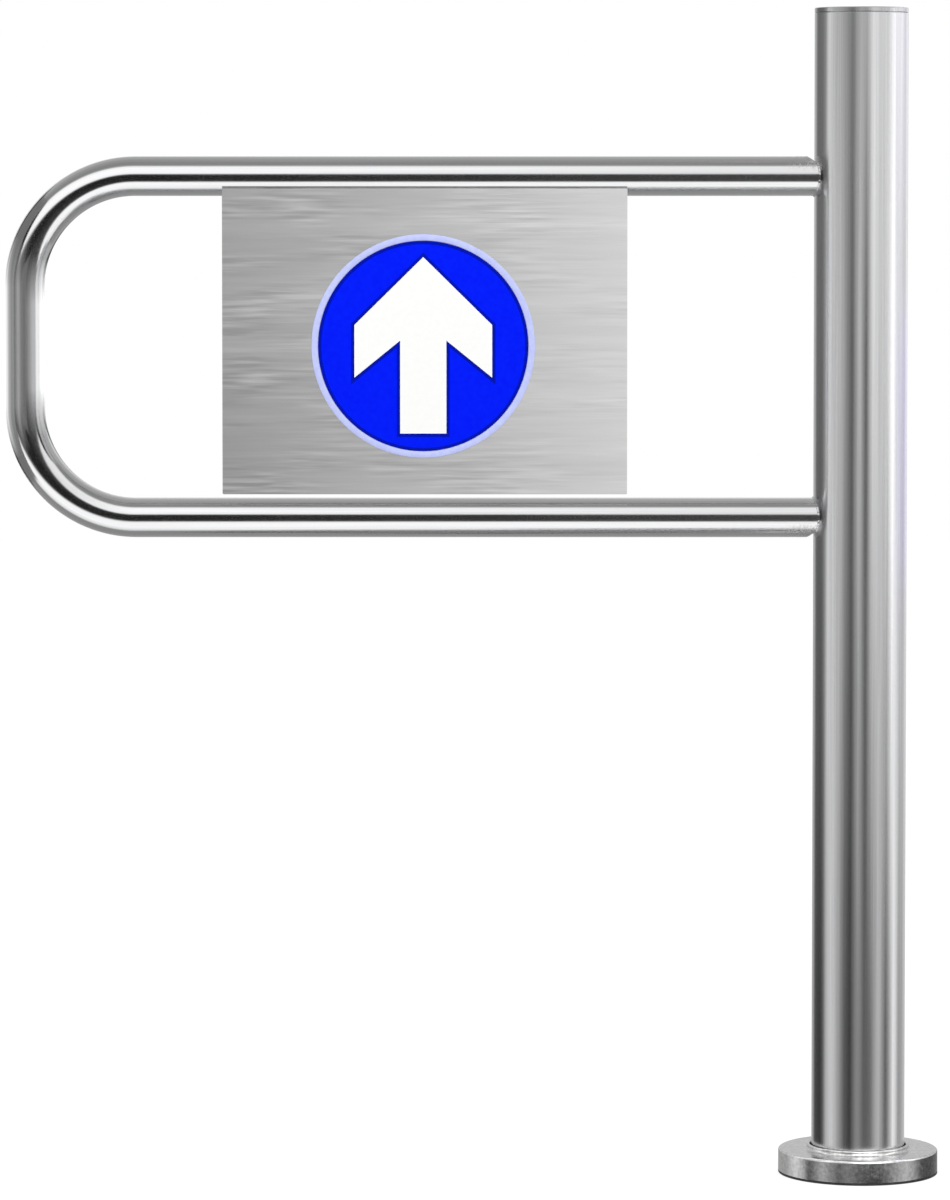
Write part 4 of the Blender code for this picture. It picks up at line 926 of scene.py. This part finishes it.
def film_finish(name, colour, deeper):
    """Matt printed vinyl."""
    finish, tree, shader = new_finish(name, colour, 0.0, 0.5)
    shader.inputs["Specular IOR Level"].default_value = 0.02
    mottle = ranged(tree, noise(tree, INK_MOTTLE, 4.0), 0.0, 1.0)
    grain = ranged(tree, noise(tree, FILM_GRAIN, 1.0), 0.44, 0.56)
    ripple = noise(tree, FILM_RIPPLES, 2.0)
    drive(tree, shader, blend_colours(tree, mottle, deeper, colour), grain, ripple, FILM_DEPTH)
    return finish


for name, film in FILM_COLOURS.items():
    finishes[name] = film_finish(*film)
finishes["sign_arrow_line"] = finishes["sign_disc_line"]
print("films:", ", ".join(name for name, colour, deeper in FILM_COLOURS.values()))

# %% [markdown]
# ## Inner metals, acetal and rubber
# The pieces inside the post and under the cover are seen only when the gate is taken apart, but each
# has the finish that its work gives it: zinc on the fixings, black scale on welded steel, a ground
# sheen on bearings, oil on the spring, tool marks on the acetal. One recipe serves them all, with
# other numbers.

# %% Make the plain metals and the rubber
CLOUDS = 90.0
# name, dark and light colour, metallic, smoothest and roughest, stretch of the grain, depth of the bump
WORKED = {
    "zinc_steel": ("zinc plate", (0.47, 0.49, 0.52), (0.63, 0.65, 0.66), 1.0, 0.27, 0.42, 900.0, 0.000006),
    "mild_steel": ("mill scale steel", (0.13, 0.125, 0.12), (0.25, 0.24, 0.23), 0.9, 0.42, 0.60,
                   500.0, 0.00001),
    "bearing_steel": ("ground bearing steel", (0.52, 0.52, 0.51), (0.63, 0.63, 0.62), 1.0, 0.12, 0.24,
                      (120.0, 120.0, 2600.0), 0.000002),
    "spring_steel": ("oiled spring steel", (0.075, 0.075, 0.08), (0.15, 0.15, 0.155), 0.9, 0.24, 0.40,
                     500.0, 0.000006),
    "acetal": ("turned acetal", (0.76, 0.75, 0.71), (0.84, 0.84, 0.82), 0.0, 0.36, 0.48,
               (150.0, 150.0, 1800.0), 0.000004),
    "black_rubber": ("moulded rubber", (0.010, 0.010, 0.011), (0.030, 0.030, 0.031), 0.0, 0.58, 0.78,
                     1100.0, 0.00002),
}


def worked_finish(name, dark, light, metallic, smooth, rough, stretch, depth):
    """A finish mottled between two colours, with a fine grain stretched along one axis."""
    finish, tree, shader = new_finish(name, light, metallic, smooth)
    clouds = noise(tree, CLOUDS, 5.0)
    grain = noise(tree, stretch, 3.0)
    colour = blend_colours(tree, ranged(tree, clouds, 0.0, 1.0), dark, light)
    colour = blend_colours(tree, ranged(tree, grain, 0.0, 0.25), colour, dark)
    drive(tree, shader, colour, ranged(tree, grain, smooth, rough), grain, depth)
    return finish


for slot, recipe in WORKED.items():
    finishes[slot] = worked_finish(*recipe)
print("worked finishes:", ", ".join(WORKED))

# %% Put the finishes on
for name, piece in dressed.items():
    piece.data.materials.clear()
    piece.data.materials.append(finishes.get(name, finishes[slots[name]]))
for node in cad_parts.values():
    for holder in node.material_slots:
        holder.material = finishes[holder.material.name]
print("finishes on", len(dressed), "pieces and", len(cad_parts), "solids")

# %% [markdown]
# ## The camera
# The photograph was taken from about four and a half metres away with a long lens, a little under
# the height of the post's top. A long lens keeps the post's sides parallel. The lens is shifted a
# little instead of tilting the camera more, as an architect's lens is.

# %% Set the camera
CAMERA_PLACE = Vector((-0.3133, -4.39, 0.80))
CAMERA_TILT = 0.0508
LENS = 162.1
VERTICAL_SHIFT = -0.11
camera_data = bpy.data.cameras.new("camera")
camera_data.lens = LENS
camera_data.shift_y = VERTICAL_SHIFT
camera = show("camera", camera_data)
camera.location = CAMERA_PLACE
camera.rotation_euler = (QUARTER - CAMERA_TILT, 0.0, 0.0)
bpy.context.scene.camera = camera
camera_heading = math.atan2(CAMERA_PLACE.x, -CAMERA_PLACE.y)
print("camera heading from the post:", round(math.degrees(camera_heading), 2), "degrees")

# %% [markdown]
# ## Floor and background
# The picture has a pure white ground with hardly a shadow. The floor's own light reaches the camera
# only, and a share of plain diffuse white under it still takes the soft shadow at the cover's foot.

# %% Lay the floor and light the world
FLOOR_HALF = 8.0
FLOOR_DEPTH = 0.0002
FLOOR_GLOW = 0.74
FLOOR_WHITE = 0.30
WORLD_FILL = 0.95
WHITE = (1.0, 1.0, 1.0)


def only_for(tree, *kinds):
    """One for rays of the named kinds, zero for others."""
    path = make(tree, "LightPath", {})
    total = path.outputs[kinds[0]]
    for kind in kinds[1:]:
        total = sums(tree, "MAXIMUM", total, path.outputs[kind])
    return total


corners = ((-1, -1), (1, -1), (1, 1), (-1, 1))
floor_mesh = bpy.data.meshes.new("floor")
floor_points = [(x * FLOOR_HALF, y * FLOOR_HALF, -FLOOR_DEPTH) for x, y in corners]
floor_mesh.from_pydata(floor_points, [], [(0, 1, 2, 3)])
floor = show("floor", floor_mesh)
floor_look, floor_tree, floor_shader = new_finish("floor_white", [FLOOR_WHITE] * 3, 0.0, 1.0)
floor_shader.inputs["Specular IOR Level"].default_value = 0.0
floor_shader.inputs["Emission Color"].default_value = (*WHITE, 1.0)
glow = sums(floor_tree, "MULTIPLY", only_for(floor_tree, "Is Camera Ray"), FLOOR_GLOW)
floor_tree.links.new(glow, floor_shader.inputs["Emission Strength"])
floor_mesh.materials.append(floor_look)
floor.visible_glossy = False

world = bpy.data.worlds.new("white room")
bpy.context.scene.world = world
world.use_nodes = True
background = world.node_tree.nodes["Background"]
background.inputs["Color"].default_value = (*WHITE, 1.0)
shown = only_for(world.node_tree, "Is Camera Ray", "Is Glossy Ray", "Is Transmission Ray")
level = ranged(world.node_tree, shown, WORLD_FILL, 1.0, 0.0, 1.0)
world.node_tree.links.new(level, background.inputs["Strength"])
world.cycles.sampling_method = "NONE"
print("floor:", 2 * FLOOR_HALF, "m across, world fill", WORLD_FILL)

# %% [markdown]
# ## Cards for the steel to mirror
# Polished steel has almost no colour of its own: it shows the room. A photographer stands grey, black
# and white cards round such an object until the stripes in it look right, and shoots the post, the arm
# and the plate each with cards of its own. Light linking gives Blender the same freedom: a card that
# glows can be told which pieces it serves. The cards are seen by reflections only, so they neither
# light the films nor show in the picture, and all but the outermost let the rays of other pieces pass.

# %% Say which pieces each set of cards serves
SERVED = {"arm": ("arm", "upper_weld_bead", "lower_weld_bead"), "cover": ("cover", "rubber_shade_ring"),
          "plate": ("plate",)}


def audience_of(kind, members):
    """A collection of objects that a card's light is linked to."""
    group = bpy.data.collections.new(f"mirrored in the {kind}")
    for member in members:
        group.objects.link(member)
    return group


audiences = {kind: audience_of(kind, [dressed[name] for name in names]) for kind, names in SERVED.items()}
others = [piece for name, piece in dressed.items() if name not in sum(SERVED.values(), ())]
audiences["post"] = audience_of("post", others + list(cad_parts.values()))

# %% Make a card
def card_look(name, solid, one_sided, tint):
    """Light of its own, as strong as the tone of each corner. A one-sided card is dark from its back."""
    look = bpy.data.materials.new(name)
    look.use_nodes = True
    tree = look.node_tree
    tree.nodes.clear()
    tone = make(tree, "Attribute", {}, attribute_name="tone").outputs["Fac"]
    if one_sided:
        back = make(tree, "NewGeometry", {}).outputs["Backfacing"]
        tone = sums(tree, "MULTIPLY", tone, sums(tree, "SUBTRACT", 1.0, back))
    surface = make(tree, "Emission", {"Color": (*tint, 1.0), "Strength": tone}).outputs[0]
    if not solid:
        clear = make(tree, "BsdfTransparent", {}).outputs[0]
        surface = make(tree, "AddShader", {0: surface, 1: clear}).outputs[0]
    make(tree, "OutputMaterial", {"Surface": surface})
    look.cycles.emission_sampling = "NONE"
    return look


def card(name, rows, tones, kind, solid=False, one_sided=False, tint=WHITE):
    """A card over rows of points, each with its tone, seen by reflections in one audience's pieces only."""
    across = len(rows[0])
    starts = [row * across + step for row in range(len(rows) - 1) for step in range(across - 1)]
    mesh = bpy.data.meshes.new(name)
    mesh.from_pydata([point for row in rows for point in row], [],
                     [(start, start + 1, start + across + 1, start + across) for start in starts])
    layer = mesh.attributes.new("tone", "FLOAT", "POINT")
    layer.data.foreach_set("value", [tone for row in tones for tone in row])
    mesh.materials.append(card_look(name, solid, one_sided, tint))
    board = show(name, mesh)
    board.visible_camera = False
    board.visible_diffuse = False
    board.visible_shadow = False
    board.visible_transmission = False
    board.light_linking.receiver_collection = audiences[kind]


print("audiences for cards:", ", ".join(audiences))

# %% Round cards and rooms of cards
CARD_STEPS = 12
LID_SIDES = 48


def curtain(name, centre, distance, heights, stops, kind, solid=False, tint=WHITE):
    """A round curtain. Each height names a tone of the stops, and each stop is a heading and its tones.

    Headings are in degrees from the camera's side of the post, to the right. Tones go from the top down.
    """
    rows, tones = [[] for _ in heights], [[] for _ in heights]
    for (start, *first), (end, *last) in zip(stops, stops[1:]):
        for step in range(CARD_STEPS + 1):
            share = step / CARD_STEPS
            heading = camera_heading + math.radians(start + (end - start) * share)
            for number, (z, tone) in enumerate(heights):
                rows[number].append((centre[0] + distance * math.sin(heading),
                                     centre[1] - distance * math.cos(heading), z))
                tones[number].append(first[tone] + (last[tone] - first[tone]) * share)
    card(name, rows, tones, kind, solid, tint=tint)


def lid(name, centre, distance, z, tone, kind, solid=False):
    """A level round card, from its rim to its middle."""
    turns = turns_of(LID_SIDES) + [FULL_TURN]
    rows = [[(centre[0] + r * math.cos(t), centre[1] + r * math.sin(t), z) for t in turns]
            for r in (distance, distance / 100)]
    card(name, rows, [[tone] * len(turns)] * 2, kind, solid)


def room(names, centre, distance, heights, stops, lid_tones, kind, solid=False):
    """A curtain with a lid at its top and one at its foot."""
    curtain(names[0], centre, distance, heights, stops, kind, solid)
    for name, (z, _), tone in zip(names[1:], (heights[0], heights[-1]), lid_tones):
        lid(name, centre, distance, z, tone, kind, solid)


print("a curtain takes", CARD_STEPS, "steps from one heading to the next")

# %% Hang the post's curtain
# headings, then tones at the post's head, at its middle and at its foot
POST_STOPS = (
    (-180, 0.60, 0.60, 0.60), (-150, 0.60, 0.60, 0.50), (-135, 0.20, 0.20, 0.10),
    (-108, 0.25, 0.20, 0.05), (-97, 0.40, 0.40, 0.15), (-87, 1.00, 1.10, 0.65),
    (-70, 0.70, 0.80, 0.95), (-50, 0.60, 0.75, 0.50), (-36, 0.45, 0.45, 0.15),
    (-20, 0.30, 0.12, 0.05), (-2, 0.65, 0.85, 0.40), (14, 0.70, 0.05, 0.15),
    (30, 1.20, 1.20, 0.20), (50, 0.95, 0.85, 0.75), (72, 1.05, 1.05, 0.10),
    (87, 1.50, 2.10, 0.70), (97, 1.35, 1.10, 1.35), (118, 1.45, 1.00, 0.45),
    (136, 1.00, 0.80, 0.55), (152, 1.20, 1.15, 0.70), (180, 0.60, 0.60, 0.60),
)
POST_HEIGHTS = ((2.6, 0), (1.1, 0), (0.6, 1), (-0.3, 2), (-1.8, 2))
POST_DISTANCE = 2.8
axis = (0.0, 0.0)
room(("post_curtain", "post_ceiling", "post_floor"), axis, POST_DISTANCE, POST_HEIGHTS, POST_STOPS,
     (0.75, 0.45), "post", solid=True)
print("post's curtain:", len(POST_STOPS), "headings")

# %% [markdown]
# The steel isn't all grey: along the post's right edge the picture shows a faint violet light, plainest
# beside the plate. One tinted card to the right gives it, adding its light to the curtain behind it.

# %% Hang the violet card
# headings, then tones for the head, for the middle and for none
VIOLET_STOPS = (
    (75, 0.00, 0.00, 0.00), (90, 0.08, 0.03, 0.00), (108, 0.08, 0.20, 0.00),
    (160, 0.08, 0.20, 0.00), (178, 0.00, 0.00, 0.00),
)
VIOLET_HEIGHTS = ((1.30, 2), (1.05, 0), (0.80, 0), (0.76, 2), (0.67, 2), (0.62, 1), (0.34, 1), (0.26, 2))
VIOLET_DISTANCE = 2.7
VIOLET = (0.25, 0.12, 1.00)
curtain("violet_card", axis, VIOLET_DISTANCE, VIOLET_HEIGHTS, VIOLET_STOPS, "post", tint=VIOLET)
print("violet card from", VIOLET_HEIGHTS[-1][0], "to", VIOLET_HEIGHTS[0][0], "m high")

# %% [markdown]
# The arm's rails lie along X, so they mirror a room by height, not by heading: a dark band straight
# ahead gives the black line along their middle, a white wall above it and a white floor below give the
# bright lines beside it, and a grey ceiling gives the grey of their upper edge. The room is a tunnel
# along the rails. The arm's upright end mirrors by heading instead, and gets three small cards round it.

# %% Build the arm's tunnel
# places in Y and Z round the tunnel, with the tone at the arm's far end and at the post
TUNNEL = (
    (-0.97, 0.24, 0.02, 0.08), (-1.45, 1.02, 0.02, 0.08), (-1.58, 1.22, 1.50, 1.20),
    (-1.40, 1.70, 1.60, 1.25), (-0.95, 2.20, 1.50, 1.30), (-0.80, 2.25, 0.60, 0.60),
    (-0.50, 2.25, 0.34, 0.34), (0.00, 2.25, 0.40, 0.40), (0.50, 2.25, 0.48, 0.48),
    (1.40, 2.25, 0.60, 0.60), (2.00, 2.25, 0.60, 0.60), (2.00, 1.80, 0.70, 0.70),
    (2.00, 1.60, 0.95, 0.95), (2.00, 1.10, 0.95, 0.95), (2.00, 0.90, 0.10, 0.10),
    (2.00, 0.10, 0.10, 0.10), (2.00, -0.10, 0.60, 0.60), (2.00, -0.60, 0.45, 0.45),
    (0.40, -0.60, 0.38, 0.38), (-0.10, -0.60, 0.36, 0.36), (-0.36, -0.60, 1.30, 1.30),
    (-0.90, -0.60, 1.50, 1.50), (-0.97, 0.08, 1.50, 1.50), (-0.97, 0.24, 0.02, 0.08),
)
FAR_X, NEAR_X = -2.3, 1.7
TUNNEL_TOP = 2.25
TUNNEL_FOOT = -0.6
TUNNEL_BACK = 2.0
TUNNEL_FRONT = -0.87
stations = ((FAR_X, 0.0), (arm_low.x, 0.0), (0.0, 1.0), (NEAR_X, 1.0))
card("arm_tunnel", [[(x, y, z) for y, z, far, near in TUNNEL] for x, share in stations],
     [[far + (near - far) * share for y, z, far, near in TUNNEL] for x, share in stations], "arm")
for name, x, tone in (("arm_end_far", FAR_X, 0.25), ("arm_end_near", NEAR_X, 0.6)):
    card(name, [[(x, TUNNEL_FRONT, z), (x, TUNNEL_BACK, z)] for z in (TUNNEL_TOP, TUNNEL_FOOT)],
         [[tone, tone]] * 2, "arm")
print("tunnel:", len(TUNNEL), "places round it")

# %% Stand the three cards of the arm's upright end
# places in Y with their tones, from the camera's side to the back
RIGHT_TONES = ((-0.20, 0.15), (-0.08, 0.25), (-0.044, 0.45), (-0.028, 0.65), (-0.010, 0.85), (0.014, 1.70),
               (0.10, 1.70))
LEFT_TONES = ((-0.20, 0.10), (-0.08, 0.30), (-0.044, 0.55), (-0.023, 0.20), (-0.015, 0.15), (-0.007, 0.45),
              (0.003, 1.20), (0.10, 1.70))
FRONT_TONES = ((-0.022, 0.0), (-0.008, 0.22), (0.008, 0.22), (0.022, 0.0))
FRONT_Y = -0.09
FRONT_OVERLAP = 0.02
CARD_GAP = 0.010
UPRIGHT_TOP = UPPER_RAIL - BEND_RADIUS
UPRIGHT_FOOT = LOWER_RAIL + BEND_RADIUS
upright_x = arm_low.x + ARM_RADIUS


def upright_card(name, side, tones, overlap, fade):
    """A narrow card beside the upright end, fading out above and below it."""
    x = upright_x + side * (ARM_RADIUS + CARD_GAP)
    levels = ((UPRIGHT_TOP + overlap + fade, 0.0), (UPRIGHT_TOP + overlap, 1.0),
              (UPRIGHT_FOOT - overlap, 1.0), (UPRIGHT_FOOT - overlap - fade, 0.0))[::side]
    card(name, [[(x, y, z) for y, tone in tones] for z, share in levels],
         [[tone * share for y, tone in tones] for z, share in levels], "arm", one_sided=True)


upright_card("upright_right", 1, RIGHT_TONES, -0.015, 0.035)
upright_card("upright_left", -1, LEFT_TONES, 0.0, 0.050)
front_levels = (UPRIGHT_FOOT - FRONT_OVERLAP, UPRIGHT_TOP + FRONT_OVERLAP)
front_rows = [[(upright_x + aside, FRONT_Y, z) for aside, tone in FRONT_TONES] for z in front_levels]
card("upright_front", front_rows, [[tone for aside, tone in FRONT_TONES]] * 2, "arm")
print("upright end from", round(UPRIGHT_FOOT, 3), "to", round(UPRIGHT_TOP, 3), "m high")

# %% [markdown]
# The plate is flat, so it shows one spot of its room, blurred by the grain. A curtain that grows
# lighter to the right gives the slow change from its dark left edge to its light right edge.

# %% Hang the plate's curtain
PLATE_STOPS = (
    (-180, 0.75, 0.75, 0.75), (-95, 0.60, 0.60, 0.60), (-50, 0.50, 0.50, 0.45),
    (-22, 0.40, 0.35, 0.15), (0, 0.85, 0.80, 0.50), (22, 1.35, 1.25, 1.05),
    (50, 1.45, 1.35, 1.25), (95, 0.80, 0.80, 0.80), (180, 0.75, 0.75, 0.75),
)
PLATE_HEIGHTS = ((2.2, 0), (1.0, 0), (0.66, 1), (0.30, 2), (-0.8, 2))
PLATE_DISTANCE = 1.3
plate_axis = ((panel_low.x + panel_high.x) / 2, 0.0)
room(("plate_curtain", "plate_ceiling", "plate_floor"), plate_axis, PLATE_DISTANCE, PLATE_HEIGHTS,
     PLATE_STOPS, (0.8, 0.7), "plate")
print("plate's curtain:", len(PLATE_STOPS), "headings")

# %% [markdown]
# The cover's side mirrors the ground round it, heading by heading, and its rounded rim mirrors the
# lights overhead. Its ring of cards has a lower half for the side and an upper half for rim and top.

# %% Stand the cover's ring
COVER_STOPS = (
    (-180, 0.70, 0.65, 0.40), (-120, 0.80, 0.65, 0.50), (-107, 1.10, 0.75, 0.80),
    (-94, 1.80, 0.90, 1.00), (-80, 0.70, 0.70, 0.55), (-71, 0.60, 0.60, 0.05),
    (-50, 1.80, 1.00, 0.60), (-25, 0.90, 0.60, 0.15), (-14, 1.10, 0.60, 0.30),
    (0, 3.00, 1.60, 0.15), (17, 3.00, 2.20, 0.05), (33, 3.00, 2.20, 0.05),
    (55, 1.20, 0.80, 0.45), (70, 1.00, 0.70, 0.75), (84, 2.50, 1.50, 0.50),
    (100, 1.20, 0.75, 0.10), (125, 0.80, 0.65, 0.10), (147, 0.70, 0.65, 0.20),
    (180, 0.70, 0.65, 0.40),
)
COVER_HEIGHTS = ((0.80, 0), (0.25, 0), (0.04, 1), (-0.02, 2), (-0.60, 2))
COVER_DISTANCE = 0.6
room(("cover_ring", "cover_ceiling", "cover_ground"), axis, COVER_DISTANCE, COVER_HEIGHTS, COVER_STOPS,
     (1.60, 0.30), "cover")
print("cards:", len([mesh for mesh in bpy.data.meshes if "tone" in mesh.attributes]))

# %% [markdown]
# ## Soft lamps
# The films and the rubber aren't mirrors, so plain soft light does for them. Two large area lamps in
# front and above give the little unevenness that a real studio has. They are hidden from reflections,
# where the cards already stand.

# %% Hang the lamps
def lamp(name, place_at, aim, size, power):
    """A soft square lamp that reflections don't show."""
    data = bpy.data.lights.new(name, "AREA")
    data.size = size
    data.energy = power
    light = show(name, data)
    light.location = place_at
    light.rotation_euler = (Vector(aim) - Vector(place_at)).to_track_quat("-Z", "Y").to_euler()
    light.visible_glossy = False


lamp("front_lamp", (-1.2, -2.6, 2.6), (-0.3, 0.0, 0.5), 1.8, 40.0)
lamp("side_lamp", (1.8, -1.6, 2.2), (-0.2, 0.0, 0.5), 1.5, 20.0)
print("lamps:", len(bpy.data.lights))

# %% Plain colours and the end
bpy.context.scene.view_settings.view_transform = "Standard"
